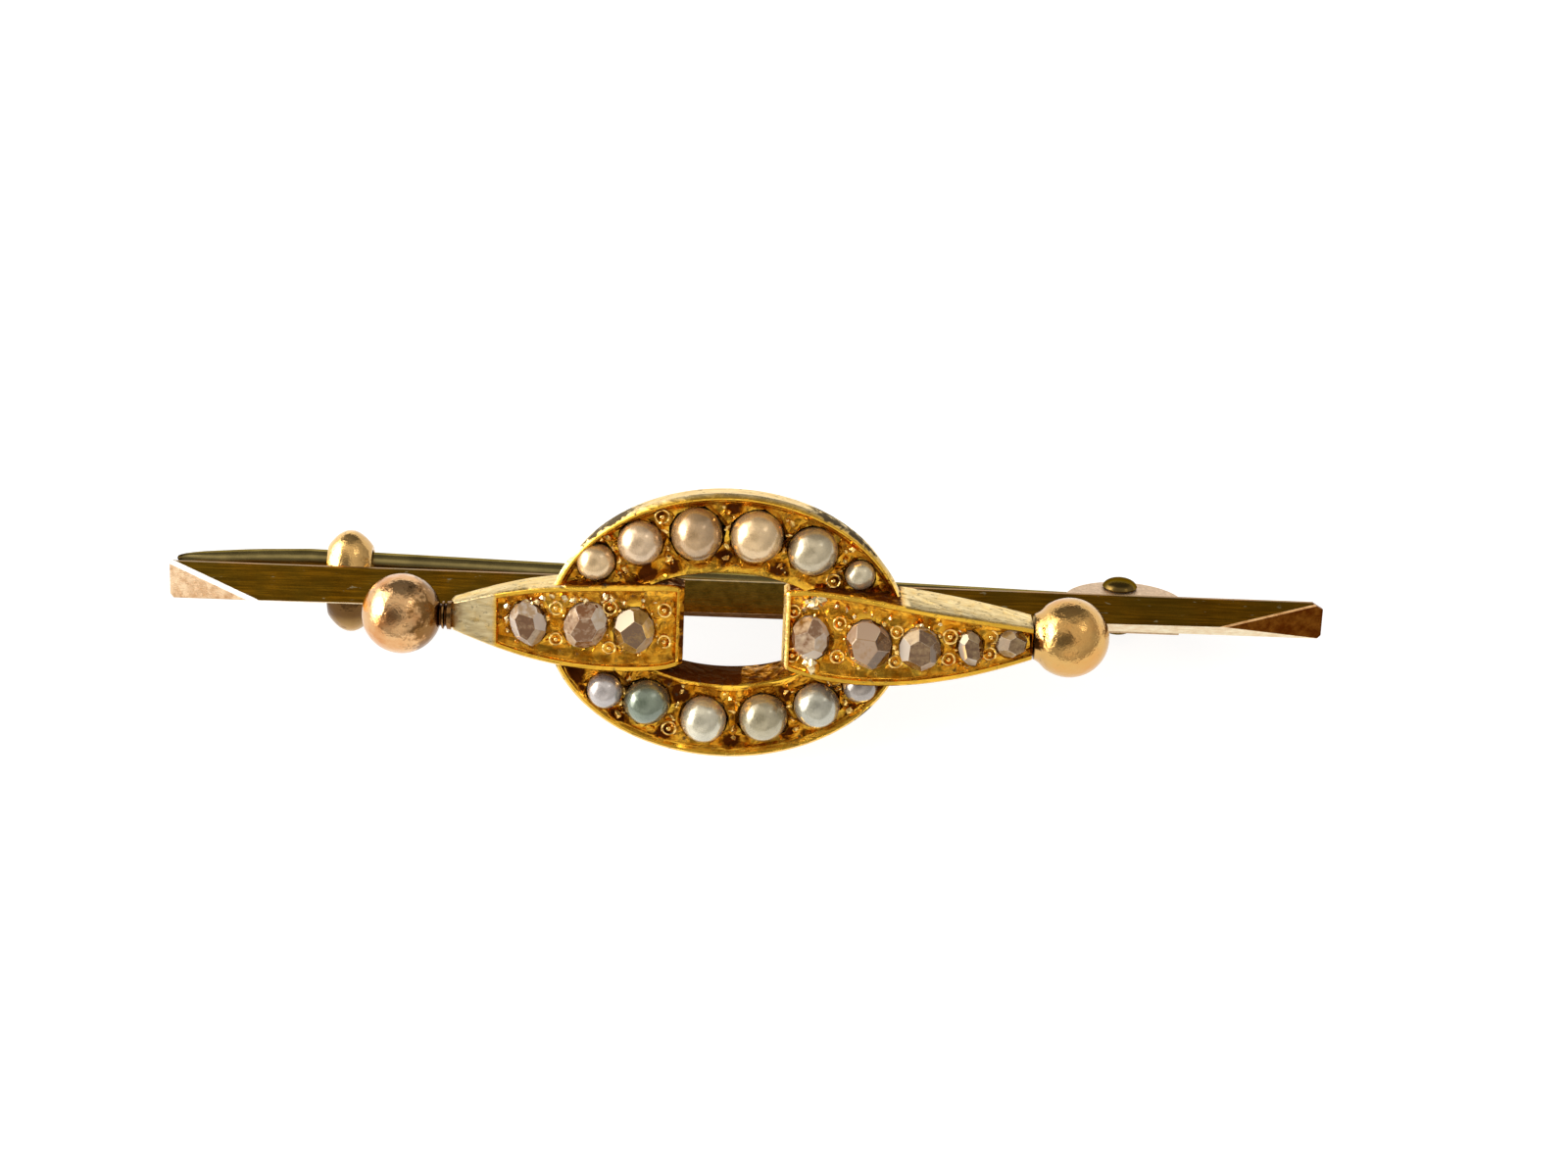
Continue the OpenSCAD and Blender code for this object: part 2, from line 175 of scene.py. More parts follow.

# Dark red-brown patches in the ring's floor: painted shade in its hollows, with some soiling
FLOOR_SHADE_AND_SOILING = table(
    "x y reach",
    (-6.4, 3.2, 0.45), (-5.3, 2.2, 0.45), (-3.8, 2.1, 0.6), (-2.8, 2.4, 0.5), (-3.4, 4.6, 0.4),
    (-0.6, 4.8, 0.35), (-0.9, 2.8, 0.45), (1.2, 2.4, 0.5), (3.5, 2.1, 0.35), (5.6, 1.8, 0.4),
    (-6.5, -2.1, 0.6), (-6.2, -2.8, 0.4), (-4.8, -3.8, 0.5), (-2.9, -2.0, 0.6), (-3.0, -4.4, 0.45),
    (-2.4, -2.8, 0.55), (-0.4, -4.7, 0.45), (0.0, -3.6, 0.4), (1.6, -2.7, 0.4), (1.8, -4.3, 0.4),
)

# Body colours of the pearls, and their slots
TINTS = {
    "cream": ((0.73, 0.52, 0.28), "pearl_cream"),
    "blush": ((0.69, 0.50, 0.31), "pearl_rose"),
    "rose": ((0.49, 0.32, 0.16), "pearl_rose"),
    "sage": ((0.51, 0.43, 0.28), "pearl_sage"),
    "celadon": ((0.62, 0.54, 0.37), "pearl_cream"),
    "lilac": ((0.50, 0.46, 0.45), "pearl_silver"),
    "teal": ((0.17, 0.21, 0.15), "pearl_teal"),
    "silver": ((0.62, 0.58, 0.44), "pearl_silver"),
    "moss": ((0.41, 0.36, 0.23), "pearl_silver"),
    "slate": ((0.42, 0.41, 0.33), "pearl_slate"),
    "dusk": ((0.33, 0.29, 0.26), "pearl_slate"),
}
# Body colours of the stones, and how near to white their palest facets come, as painted highlights
STONE_TINTS = {
    "lilac": ((0.48, 0.32, 0.18), 0.55),
    "clear": ((0.72, 0.55, 0.38), 0.6),
    "olive": ((0.42, 0.24, 0.05), 0.3),
    "amber": ((0.34, 0.18, 0.07), 0.15),
    "grey": ((0.42, 0.28, 0.13), 0.4),
}


# Measures, in the panel


# Lowest value of a place along the bar, in metres
ANYWHERE = -1.0


def length(name, description, millimetres, low=0.0):
    """A length property, kept in metres and given here in millimetres."""
    return FloatProperty(
        name=name, description=description, default=millimetres * MM, min=low, unit="LENGTH", precision=5
    )


def angle(name, description, degrees):
    """An angle property, given here in degrees."""
    return FloatProperty(name=name, description=description, default=math.radians(degrees), subtype="ANGLE")


def colour(name, description, rgb):
    """A colour property."""
    return FloatVectorProperty(
        name=name, description=description, default=rgb, size=3, min=0.0, max=1.0, subtype="COLOR"
    )


class BroochBarSettings(bpy.types.PropertyGroup):
    """Sizes of the knife-edged bar."""

    length: length("Length", "Overall length of the bar", 45)
    width: length("Width", "Width of the bar across its flat back", 1.5)
    height: length("Height", "Height of the knife edge above the back", 1.3)
    edge: length("Side", "Height of the upright edge along each side", 0.15)
    hip_left: length("Left hip", "Length of the slanting facet at the left end", 3.45)
    hip_right: length("Right hip", "Length of the slanting facet at the right end", 4.0)


class BroochRingSettings(bpy.types.PropertyGroup):
    """Sizes of the oval ring."""

    place: length("Place", "Ring's centre along the bar", -0.7, ANYWHERE)
    length: length("Length", "Length of the ring along the bar", 13.8)
    width: length("Width", "Width of the ring across the bar", 10.6)
    thickness: length("Thickness", "Thickness of the ring from back to face", 2.0)
    lean: length("Lean", "How far the outer wall leans in towards the back", 0.3)
    window_length: length("Window length", "Length of the oval window", 8.4)
    window_width: length("Window width", "Width of the oval window", 4.5)
    rim: length("Rim", "Width of the raised border", 0.3)
    drop: length("Floor drop", "Depth of the sunk floor below the border", 0.28)
    back: length("Back", "Height of the ring's back above the bar's back", 1.25)


class BroochStrapSettings(bpy.types.PropertyGroup):
    """Sizes of the straps and the balls."""

    back: length("Back", "Height of the straps' flat back above the bar's back", 1.9)
    rim: length("Rim", "Width of the straps' raised border", 0.26)
    drop: length("Floor drop", "Depth of the straps' sunk floor", 0.28)
    shift: length("Shift", "How far the straps stand towards the lower side", 0.06)
    ball: length("Ball", "Diameter of the polished balls", 3.06)
    neck: length("Neck", "Diameter of the neck between strap and ball", 0.9)
    left_ball: length("Left ball", "Left ball along the bar", -13.12, ANYWHERE)
    right_ball: length("Right ball", "Right ball along the bar", 12.42, ANYWHERE)
    ball_height: length("Ball height", "Height of the balls' centres above the bar's back", 2.78)


class BroochBackSettings(bpy.types.PropertyGroup):
    """Sizes of the hinge, the pin and the catch."""

    hinge: length("Hinge place", "Place of the hinge along the bar", 14.65)
    ear_radius: length("Ear radius", "Radius of the round hinge ears", 2.32)
    ear_depth: length("Ear depth", "How far the ears reach behind the bar", 1.77)
    ear_thickness: length("Ear thickness", "Thickness of one ear", 0.3)
    rivet_drop: length("Rivet drop", "Height of the rivet behind the bar's back", 1.05)
    rivet: length("Rivet", "Diameter of the rivet's shank", 0.6)
    head: length("Rivet head", "Diameter of the rivet's domed heads", 1.36)
    head_height: length("Head height", "Height of a domed head above its ear", 0.36)
    play: length("Play", "Play between the rivet and its holes", 0.03)
    knuckle: length("Knuckle", "Diameter of the knuckle at the end of the pin", 1.44)
    knuckle_width: length("Knuckle width", "Width of the knuckle between the ears", 0.8)
    pin: length("Pin", "Diameter of the pin stem beside the hinge", 0.86)
    pin_thin: length("Pin at catch", "Diameter of the pin stem at the catch", 0.88)
    point: length("Point", "Length of the pin's tapered point", 3.4)
    short: length("Point's end", "How far the point ends short of the bar's end", 0.14)
    catch_left: length("Catch place", "How far left of the middle the catch stands", 15.55)
    catch_width: length("Catch width", "Width of the catch's strip along the bar", 1.75)
    catch_height: length("Catch height", "Height of the catch across the bar", 4.14)
    catch_depth: length("Catch depth", "How far the catch reaches behind the bar", 2.6)
    catch_thickness: length("Catch strip", "Thickness of the catch's strip at its crown", 0.5)


class BroochFinishSettings(bpy.types.PropertyGroup):
    """Colours of the metals, and how the brooch lies."""

    lean: angle("Lean", "How far the face leans over where the brooch lies", 40.47)
    dip: angle("Dip", "How far the bar dips towards the hinge", 2.26)
    deep_gold: colour("Deep gold", "Colour of the ring's and straps' gold", (1.0, 0.58, 0.06))
    red_gold: colour("Red gold", "Colour of the left ball", (0.74, 0.46, 0.22))
    pale_gold: colour("Pale gold", "Colour of the right ball", (0.64, 0.39, 0.13))
    bar_gold: colour("Bar gold", "Colour of the bar", (0.31, 0.135, 0.005))
    pin_metal: colour("Pin metal", "Colour of the pin", (0.29, 0.225, 0.085))
    bent_pearls: BoolProperty(
        name="Uneven pearls", description="Gives each pearl a slightly uneven shape", default=True
    )


def sizes_of(part):
    """The lengths of one part's property group in millimetres, by name."""
    group = getattr(bpy.context.scene, "brooch_" + part)
    found = {}
    for key, prop in group.bl_rna.properties.items():
        if prop.type == "FLOAT" and prop.unit == "LENGTH":
            found[key] = getattr(group, key) / MM
    return SimpleNamespace(**found)


# Placing


def lay_down():
    """From the brooch's own frame in millimetres to the row frame in metres.
    The ring's lower back edge carries the brooch, and it is centred over the origin."""
    finish = bpy.context.scene.brooch_finish
    attitude = Matrix.Rotation(finish.lean, 4, "X") @ Matrix.Rotation(finish.dip, 4, "Y")
    ring = sizes_of("ring")
    turn = attitude.to_3x3()
    up, back = turn.row[2], turn.row[1]
    foot_w = ring.width / 2 - ring.lean
    foot_l = foot_w * ring.length / ring.width
    rise = math.hypot(foot_l * up.x, foot_w * up.y) - up.dot(Vector((ring.place, 0, ring.back)))
    face = Vector((ring.place, 0, ring.back + ring.thickness))
    foot = Vector((ring.place, 0, ring.back))
    near = back.dot(face) - math.hypot(ring.length / 2 * back.x, ring.width / 2 * back.y)
    far = back.dot(foot) + math.hypot(foot_l * back.x, foot_w * back.y)
    shift = Matrix.Translation(Vector((0, -(near + far) / 2, rise)) * MM)
    return shift @ attitude @ Matrix.Scale(MM, 4)


# Mesh helpers


def new_mesh():
    """An empty bmesh with the layers that the finishes read: how deep a point lies, which sets its painted
    shade and some soiling; how much tarnish or painted shade it has; how pale it is painted, as
    reflected light and glints; and how smooth it is."""
    bm = bmesh.new()
    for layer in ("recess", "stain", "pale", "satin"):
        bm.verts.layers.float.new(layer)
    return bm


def mark(bm, verts, layer, value):
    """Writes a number, or a function of the place, to a layer at some vertices."""
    data = bm.verts.layers.float[layer]
    for v in verts:
        v[data] = value(v.co) if callable(value) else value


def shift(bm, verts, vec):
    """Moves vertices."""
    bmesh.ops.translate(bm, verts=verts, vec=vec)


def rotate(bm, verts, radians, axis="Z"):
    """Turns vertices about an axis through the origin."""
    bmesh.ops.rotate(bm, verts=verts, cent=(0, 0, 0), matrix=Matrix.Rotation(radians, 3, axis))


def whole(bm):
    """All vertices, edges and faces."""
    return bm.verts[:] + bm.edges[:] + bm.faces[:]


def oval_loop(bm, length, width, z=0, centre_x=0, segments=160):
    """A closed oval line at height z."""
    verts = bmesh.ops.create_circle(bm, segments=segments, radius=0.5)["verts"]
    bmesh.ops.scale(bm, vec=(length, width, 1), verts=verts)
    shift(bm, verts, (centre_x, 0, z))
    return verts


def closed_line(bm, points):
    """A closed line of vertices through some points."""
    verts = [bm.verts.new(p) for p in points]
    for pair in zip(verts, verts[1:] + verts[:1]):
        bm.edges.new(pair)
    return verts


def edges_among(verts):
    """The edges that join neighbours of a closed line of vertices."""
    inside = set(verts)
    return [e for v in verts for e in v.link_edges if e.other_vert(v) in inside and e.verts[0] is v]


def bridge(bm, loops, ring=False):
    """Joins lines of vertices with faces, each to the next. In a ring the last is joined to the first;
    otherwise both ends are closed."""
    edges = [edges_among(loop) for loop in loops]
    pairs = list(zip(edges, edges[1:]))
    if ring:
        pairs.append((edges[-1], edges[0]))
    for a, b in pairs:
        bmesh.ops.bridge_loops(bm, edges=a + b)
    if not ring:
        for loop in (loops[0], loops[-1]):
            bmesh.ops.contextual_create(bm, geom=edges_among(loop))


def bevel(bm, edges, width, segments=1):
    """Cuts a facet, or a rounding, along some edges and returns its faces."""
    made = bmesh.ops.bevel(
        bm, geom=edges, offset=width, offset_type="OFFSET", affect="EDGES",
        segments=segments, profile=0.5, material=-1, clamp_overlap=True,
    )
    return made["faces"]


def soften(bm, width, over):
    """Rounds every edge that turns by more than an angle."""
    bmesh.ops.recalc_face_normals(bm, faces=bm.faces)
    sharp = [e for e in bm.edges if len(e.link_faces) == 2 and e.calc_face_angle(0) > math.radians(over)]
    bevel(bm, sharp, width, 2)


def slice_off(bm, place, normal, among=None):
    """Cuts away what lies beyond a plane and closes the cut."""
    cut = bmesh.ops.bisect_plane(
        bm, geom=among or whole(bm), dist=1e-6, plane_co=place, plane_no=normal, clear_outer=True
    )
    rim = [g for g in cut["geom_cut"] if isinstance(g, bmesh.types.BMEdge)]
    if rim:
        bmesh.ops.contextual_create(bm, geom=rim)


def roughen(verts, height, size, seed, along=(0, 0, 1)):
    """Moves vertices along a direction by smooth noise."""
    offset = Vector((seed * 7.1, seed * 3.7, seed * 5.3))
    direction = Vector(along)
    for v in verts:
        v.co += direction * height * noise.noise(v.co / size + offset)


def ball_of(bm, diameter, detail):
    """A round ball at the origin."""
    return bmesh.ops.create_icosphere(bm, subdivisions=detail, radius=diameter / 2)["verts"]


def turned(bm, profile, segments, axis, centre):
    """Spins a profile of (distance along the axis, radius) rows about an axis into a closed solid."""
    along = Vector(axis).normalized()
    out = along.orthogonal().normalized()
    verts = [bm.verts.new(Vector(centre) + along * d + out * r) for d, r in profile]
    edges = [bm.edges.new(pair) for pair in zip(verts, verts[1:])]
    bmesh.ops.spin(
        bm, geom=verts + edges, cent=centre, axis=along, angle=math.tau, steps=segments, use_merge=True
    )
    bmesh.ops.remove_doubles(bm, verts=bm.verts, dist=1e-5)


def add_object(name, data):
    """A new object of the scene."""
    made = bpy.data.objects.new(name, data)
    bpy.context.scene.collection.objects.link(made)
    return made


def mesh_object(bm, name):
    """Turns a bmesh into an object of the scene."""
    mesh = bpy.data.meshes.new(name)
    bm.to_mesh(mesh)
    bm.free()
    return add_object(name, mesh)


def cut_out(bm, cutter):
    """Takes the cutter's shape out of a mesh and returns the result as a new bmesh."""
    for source in (bm, cutter):
        bmesh.ops.recalc_face_normals(source, faces=source.faces)
    body, tool = mesh_object(bm, "cut_body"), mesh_object(cutter, "cut_tool")
    change = body.modifiers.new("Cut", "BOOLEAN")
    change.operation = "DIFFERENCE"
    change.solver = "EXACT"
    change.use_self = True
    change.object = tool
    bpy.context.view_layer.update()
    evaluated = body.evaluated_get(bpy.context.evaluated_depsgraph_get())
    result = bmesh.new()
    result.from_mesh(evaluated.to_mesh())
    evaluated.to_mesh_clear()
    for thing in (body, tool):
        data = thing.data
        bpy.data.objects.remove(thing)
        bpy.data.meshes.remove(data)
    if not result.faces:
        raise RuntimeError("a cut left nothing")
    return result


def finish_piece(
    bm, name, material, node="gold_frame", body=BODY, smooth_under=35, weighted=False
):
    """Turns a bmesh in the brooch's own frame into a finished piece in the row frame."""
    bmesh.ops.remove_doubles(bm, verts=bm.verts, dist=2e-5)
    bmesh.ops.dissolve_degenerate(bm, edges=bm.edges, dist=1e-5)
    bmesh.ops.recalc_face_normals(bm, faces=bm.faces)
    bmesh.ops.transform(bm, matrix=lay_down(), verts=bm.verts)
    for v in bm.verts:
        v.co.z = max(v.co.z, 0.0)
    piece = mesh_object(bm, name)
    mesh = piece.data
    mesh.polygons.foreach_set("use_smooth", [True] * len(mesh.polygons))
    mesh.set_sharp_from_angle(angle=math.radians(smooth_under))
    mesh.materials.append(material)
    if weighted:
        change = piece.modifiers.new("Even shading", "WEIGHTED_NORMAL")
        change.keep_sharp = True
    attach(piece, body)
    if node:
        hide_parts(node)
    return piece


# Materials


class Nodes:
    """A node tree with helpers for the steps that the finishes and the light share."""

    def __init__(self, owner):
        owner.use_nodes = True
        self.tree = owner.node_tree

    def put(self, value, socket):
        """Links an output to a socket, or writes a number, a vector or a colour to it."""
        if isinstance(value, bpy.types.NodeSocket):
            self.tree.links.new(value, socket)
        else:
            socket.default_value = (*value[:3], 1.0) if socket.type == "RGBA" else value

    def fill(self, made, **inputs):
        """Puts values into a node's inputs by their names."""
        for key, value in inputs.items():
            self.put(value, made.inputs[key.replace("_", " ")])

    def node(self, kind, inputs=(), **settings):
        """A node with its settings and, as pairs of key and value, its inputs."""
        made = self.tree.nodes.new("ShaderNode" + kind)
        for key, value in settings.items():
            setattr(made, key, value)
        for key, value in inputs:
            self.put(value, made.inputs[key])
        return made

    def math(self, operation, a, b, clamp=False):
        return self.node("Math", ((0, a), (1, b)), operation=operation, use_clamp=clamp).outputs["Value"]

    def span(self, value, low, high, to_low=0.0, to_high=1.0, ease="LINEAR"):
        """Maps a span of a value to another, clamped."""
        made = self.node("MapRange", clamp=True, interpolation_type=ease)
        self.fill(made, Value=value, From_Min=low, From_Max=high, To_Min=to_low, To_Max=to_high)
        return made.outputs["Result"]


class Finish(Nodes):
    """A node material with helpers for the patterns that the finishes share."""

    def __init__(self, name):
        self.material = bpy.data.materials.new(name)
        super().__init__(self.material)
        self.shader = self.tree.nodes["Principled BSDF"]
        # Object coordinates turned back to the brooch's own frame, in millimetres
        place = lay_down()
        mapping = self.node("Mapping", vector_type="TEXTURE")
        self.fill(mapping, Vector=self.node("TexCoord").outputs["Object"], Scale=(MM, MM, MM))
        self.fill(mapping, Location=place.to_translation(), Rotation=place.to_euler("XYZ"))
        self.local = mapping.outputs["Vector"]

    def finish(self, **inputs):
        """Fills the shader's inputs and returns the material."""
        self.fill(self.shader, **inputs)
        return self.material

    def noise(self, scale, detail=4.0, rough=0.55, stretch=(1, 1, 1), distortion=0.0):
        """Noise with a grain of about 1/scale millimetres."""
        place = self.node("Mapping", (("Vector", self.local), ("Scale", stretch))).outputs["Vector"]
        made = self.node("TexNoise")
        self.fill(made, Vector=place, Scale=scale, Detail=detail, Roughness=rough, Distortion=distortion)
        return made.outputs["Fac"]

    def attribute(self, name):
        return self.node("Attribute", attribute_name=name).outputs["Fac"]

    def blend(self, factor, a, b):
        """A mix of two colours."""
        return self.node("Mix", (("Factor", factor), (6, a), (7, b)), data_type="RGBA").outputs[2]

    def bump(self, height, strength, distance, normal=None):
        made = self.node("Bump")
        self.fill(made, Height=height, Strength=strength, Distance=distance * MM)
        if normal is not None:
            self.put(normal, made.inputs["Normal"])
        return made.outputs["Normal"]


def shade(rgb, amount):
    """A colour made darker or lighter."""
    return tuple(min(1.0, c * amount) for c in rgb)


def polished_ball_gold(name, rgb, patina):
    """Polished gold with soft dents, faint smudges, patches of copper patina, and painted shade in grooves and
    holes.
    """
    f = Finish(name)
    patches = f.span(f.noise(0.9, 5, 0.6), 0.45, 0.72)
    fine = f.span(f.noise(7.0, 3), 0.4, 0.75, 0.0, 0.35)
    skin = f.blend(f.math("MAXIMUM", patches, fine), rgb, patina)
    # Smudges from noise, deepened with painted shade where the layer of tarnish and shade asks
    smudges_and_shade = f.span(f.math("ADD", f.noise(2.4, 6, 0.7), f.attribute("stain")), 0.6, 0.74, 0.0, 0.85)
    smudged_and_shaded = f.blend(smudges_and_shade, skin, (0.16, 0.07, 0.012))
    dents = f.bump(f.noise(1.6, 4, 0.6), 0.7, 0.08)
    return f.finish(
        Metallic=1.0,
        # Painted shade: grooves, the collar's hole and the catch's shaded parts go dark brown by the recess layer
        Base_Color=f.blend(f.attribute("recess"), smudged_and_shaded, (0.06, 0.02, 0.004)),
        Roughness=f.span(f.noise(2.2, 5, 0.65), 0.35, 0.75, 0.06, 0.2),
        Normal=f.bump(f.noise(14, 3), 0.4, 0.008, dents),
    )


def worked_gold(name, rgb, deep, rough):
    """Yellow gold of the ring and straps: bright on the rims, orange to brown in the worked floor with painted
    shade and some soiling, pale on the outer walls and chips, painted as reflected light and glints."""
    f = Finish(name)
    recess = f.attribute("recess")
    mottle = f.noise(2.0, 3, 0.55)
    # Painted shade: the sunk floor and hollows turn towards the deep colour by the recess layer, broken by
    # mottling
    hollow_shade = f.span(f.math("ADD", recess, f.span(mottle, 0.3, 0.7, -0.45, 0.45)), 0.25, 1.35)
    # Dark brown in the deepest places: painted shade with some soiling
    dirt_and_shade = f.span(f.math("MULTIPLY", recess, f.noise(2.6, 4, 0.6, distortion=0.5)), 0.5, 0.74)
    dirty_and_shaded = f.blend(dirt_and_shade, f.blend(hollow_shade, rgb, deep), (0.08, 0.018, 0.002))
    brushed = f.noise(7.0, 3, 0.6, stretch=(0.15, 1, 1))
    wall = f.blend(f.span(brushed, 0.35, 0.65), (0.70, 0.54, 0.27), (1.0, 0.84, 0.50))
    # Walls and chips are painted pale, as reflected light of the white table and as glints
    pale = f.math("MULTIPLY", f.attribute("pale"), f.span(mottle, 0.25, 0.5, 0.6, 1.0), True)
    broken = f.span(f.noise(3.4, 6, 0.7), 0.3, 0.7, -0.6, 0.6)
    blot = f.span(f.math("ADD", f.attribute("stain"), broken), 0.2, 0.6, 0.0, 0.95)
    worn = f.span(f.noise(2.5, 3), 0.3, 0.75, rough * 0.4, rough * 1.3)
    matte = f.math("ADD", f.math("MULTIPLY", blot, 0.4), f.math("MULTIPLY", pale, 0.15))
    smooth = f.math("MULTIPLY", f.attribute("satin"), 0.75)
    depth = f.math("SUBTRACT", f.span(recess, 0.0, 1.0, 0.12, 1.0), smooth, True)
    waves = f.math("MULTIPLY", f.noise(1.7, 2, 0.45, distortion=0.6), depth)
    ripples = f.bump(waves, 1.0, 0.22)
    return f.finish(
        Specular_Tint=(1.0, 0.84, 0.58),
        Specular_IOR_Level=0.0,
        Base_Color=f.blend(blot, f.blend(pale, dirty_and_shaded, wall), (0.06, 0.045, 0.03)),
        Metallic=f.span(f.math("MAXIMUM", dirt_and_shade, blot), 0.0, 1.0, 1.0, 0.1),
        Roughness=f.math("ADD", worn, matte, True),
        Normal=f.bump(f.noise(6, 2, 0.5, stretch=(0.25, 1, 1)), 0.5, 0.03, ripples),
    )


# The bar's parts with painted light and shade of their own: painted reflections on the hips and the lower
# facet, painted highlights on the chamfers, painted shade where the straps and ring shade the bar;
# dark and light colour, and how far each is from metal
BAR_LOOKS = table(
    "part dark light dull",
    ("left_hip", (0.62, 0.36, 0.18), (1.0, 0.74, 0.48), 0.5),
    ("right_hip", (0.12, 0.025, 0.001), (0.24, 0.08, 0.008), 0.0),
    ("edge", (0.50, 0.26, 0.10), (0.80, 0.50, 0.24), 0.5),
    ("lower", (0.86, 0.64, 0.38), (1.0, 0.88, 0.62), 0.75),
    ("shaded", (0.10, 0.04, 0.012), (0.2, 0.1, 0.04), 1.0),
    ("olive", (0.21, 0.125, 0.014), (0.36, 0.22, 0.032), 0.0),
    ("gleam", (1.0, 0.96, 0.9), (1.0, 1.0, 1.0), 1.0),
)


def bar_gold(name, rgb):
    """The bar's olive gold, drawn lengthwise, with fine streaks and pale specks, and each part's painted light or
    shade.
    """
    f = Finish(name)
    streaks = f.noise(9.0, 4, 0.6, stretch=(0.05, 1, 1))
    cloud = f.noise(0.8, 4)
    tone = f.span(f.math("ADD", f.math("MULTIPLY", streaks, 0.6), f.math("MULTIPLY", cloud, 0.4)), 0.38, 0.62)
    base = f.blend(tone, shade(rgb, 0.6), shade(rgb, 1.3))
    green = f.blend(f.span(f.noise(0.35, 3), 0.4, 0.6), base, (0.225, 0.12, 0.008))
    specks = f.span(f.noise(6.0, 3, stretch=(0.35, 1, 1)), 0.68, 0.72)
    skin = f.blend(specks, green, (0.5, 0.4, 0.22))
    patches = f.span(f.noise(2.6, 5, 0.7), 0.38, 0.62)
    metal = 1.0
    # Each part gets its painted reflection, highlight or shade
    for look in BAR_LOOKS:
        here = f.attribute(look.part)
        skin = f.blend(here, skin, f.blend(patches, look.dark, look.light))
        metal = f.math("SUBTRACT", metal, f.math("MULTIPLY", here, look.dull), True)
    return f.finish(
        Specular_IOR_Level=0.0,
        Base_Color=skin,
        Metallic=metal,
        Roughness=f.span(streaks, 0.3, 0.7, 0.15, 0.34),
        Normal=f.bump(f.noise(1.2, 3), 0.35, 0.05, f.bump(streaks, 0.5, 0.016)),
    )


def drawn_wire(name, rgb):
    """The pin's greenish metal, with fine lines along it and dull patches, dark where painted shade is put on it.
    """
    f = Finish(name)
    lines = f.noise(10, 4, 0.6, stretch=(0.04, 1, 1))
    skin = f.blend(f.span(f.noise(0.9, 4), 0.35, 0.65), shade(rgb, 0.8), shade(rgb, 1.25))
    return f.finish(
        Metallic=1.0,
        Specular_Tint=(0.42, 0.36, 0.22),
        # Painted shade where the recess layer asks
        Base_Color=f.blend(f.attribute("recess"), skin, (0.02, 0.013, 0.004)),
        Roughness=f.span(lines, 0.3, 0.7, 0.16, 0.3),
        Normal=f.bump(lines, 0.3, 0.01),
    )


def nacre(name, rgb):
    """Pearl lustre: a soft body colour, a pale bloom, faint growth marks and a clear skin."""
    f = Finish(name)
    cloud = f.noise(1.1, 3, 0.5, distortion=0.4)
    marks = f.noise(6.0, 4, 0.6)
    body = f.blend(f.span(cloud, 0.35, 0.65), shade(rgb, 0.84), shade(rgb, 1.16))
    grimy = f.blend(f.span(marks, 0.5, 0.8, 0.0, 0.35), body, shade(rgb, 0.6))
    return f.finish(
        Metallic=0.55,
        IOR=1.6,
        Coat_Weight=1.0,
        Coat_Roughness=0.05,
        Coat_IOR=1.55,
        # Painted shade, amber as the gold's reflection, on the pearl's lower part
        Base_Color=f.blend(f.attribute("recess"), grimy, (0.30, 0.15, 0.04)),
        Roughness=f.span(marks, 0.3, 0.7, 0.2, 0.32),
        Normal=f.bump(f.noise(3.0, 3), 0.3, 0.04),
    )


def cut_stone(name, rgb, gleam):
    """An old rose-cut stone: each facet is painted another tone, as painted reflections of its seat and the room,
    the palest ones nearer to white by the share gleam, as painted highlights."""
    f = Finish(name)
    mixed = f.math("ADD", f.attribute("tone"), f.span(f.noise(3.6, 4, 0.6), 0.3, 0.7, -0.28, 0.28))
    deep = f.blend(f.span(mixed, 0.0, 0.5), (rgb[0] * 0.26, rgb[1] * 0.12, rgb[2] * 0.05), rgb)
    pale = tuple(gleam + (1 - gleam) * c for c in rgb)
    return f.finish(
        Metallic=0.0,
        IOR=2.0,
        Transmission_Weight=0.25,
        Roughness=0.02,
        Specular_Tint=(1.0, 0.86, 0.64),
        Base_Color=f.blend(f.span(mixed, 0.6, 1.0), deep, pale),
        Normal=f.bump(f.noise(14, 3), 0.12, 0.01),
    )


def matte_gold(name, rgb):
    """Pale gold left grainy from the file."""
    f = Finish(name)
    grain = f.noise(9.0, 4, 0.7)
    return f.finish(
        Metallic=1.0,
        Base_Color=f.blend(f.span(grain, 0.35, 0.7), rgb, shade(rgb, 0.7)),
        Roughness=f.span(grain, 0.3, 0.7, 0.3, 0.5),
        Normal=f.bump(grain, 0.7, 0.03),
    )


def material(name, maker, *args):
    """A finish by name, made once."""
    return bpy.data.materials.get(name) or maker(name, *args)


def colour_of(name):
    """A colour of the panel."""
    return tuple(getattr(bpy.context.scene.brooch_finish, name))


# The second colour is the painted shade of the sunk floors
def deep_gold():
    return material("deep_gold", worked_gold, colour_of("deep_gold"), (0.60, 0.21, 0.006), 0.24)


# A brighter copy of the worked gold for grains and chips: painted light for their glints
def bright_gold():
    return material("bright_gold", worked_gold, (1.0, 0.66, 0.20), (0.8, 0.36, 0.04), 0.13)


# The bar


def worn_bar(p, s):
    """Where a point of the straight bar really lies: the ridge runs a little askew, both sides stand
    a little higher, the right end narrows from below and the left end is worn back."""
    side_rise, end_rise, worn_off = 0.09, 0.03, 0.08
    askew, ridge_drop = 0.0094, 0.05
    if p.z > s.height - 0.01:
        p.y += askew * p.x - ridge_drop
    elif p.y > 0:
        p.y += side_rise
    else:
        p.y += side_rise + end_rise * (p.x / s.length + 0.5)
    if p.x < 0.01 - s.length / 2:
        p.x += worn_off
    return p


# Between these the straps and the ring shade the bar
SHADE_OF_STRAPS = (-4.9, 3.6)
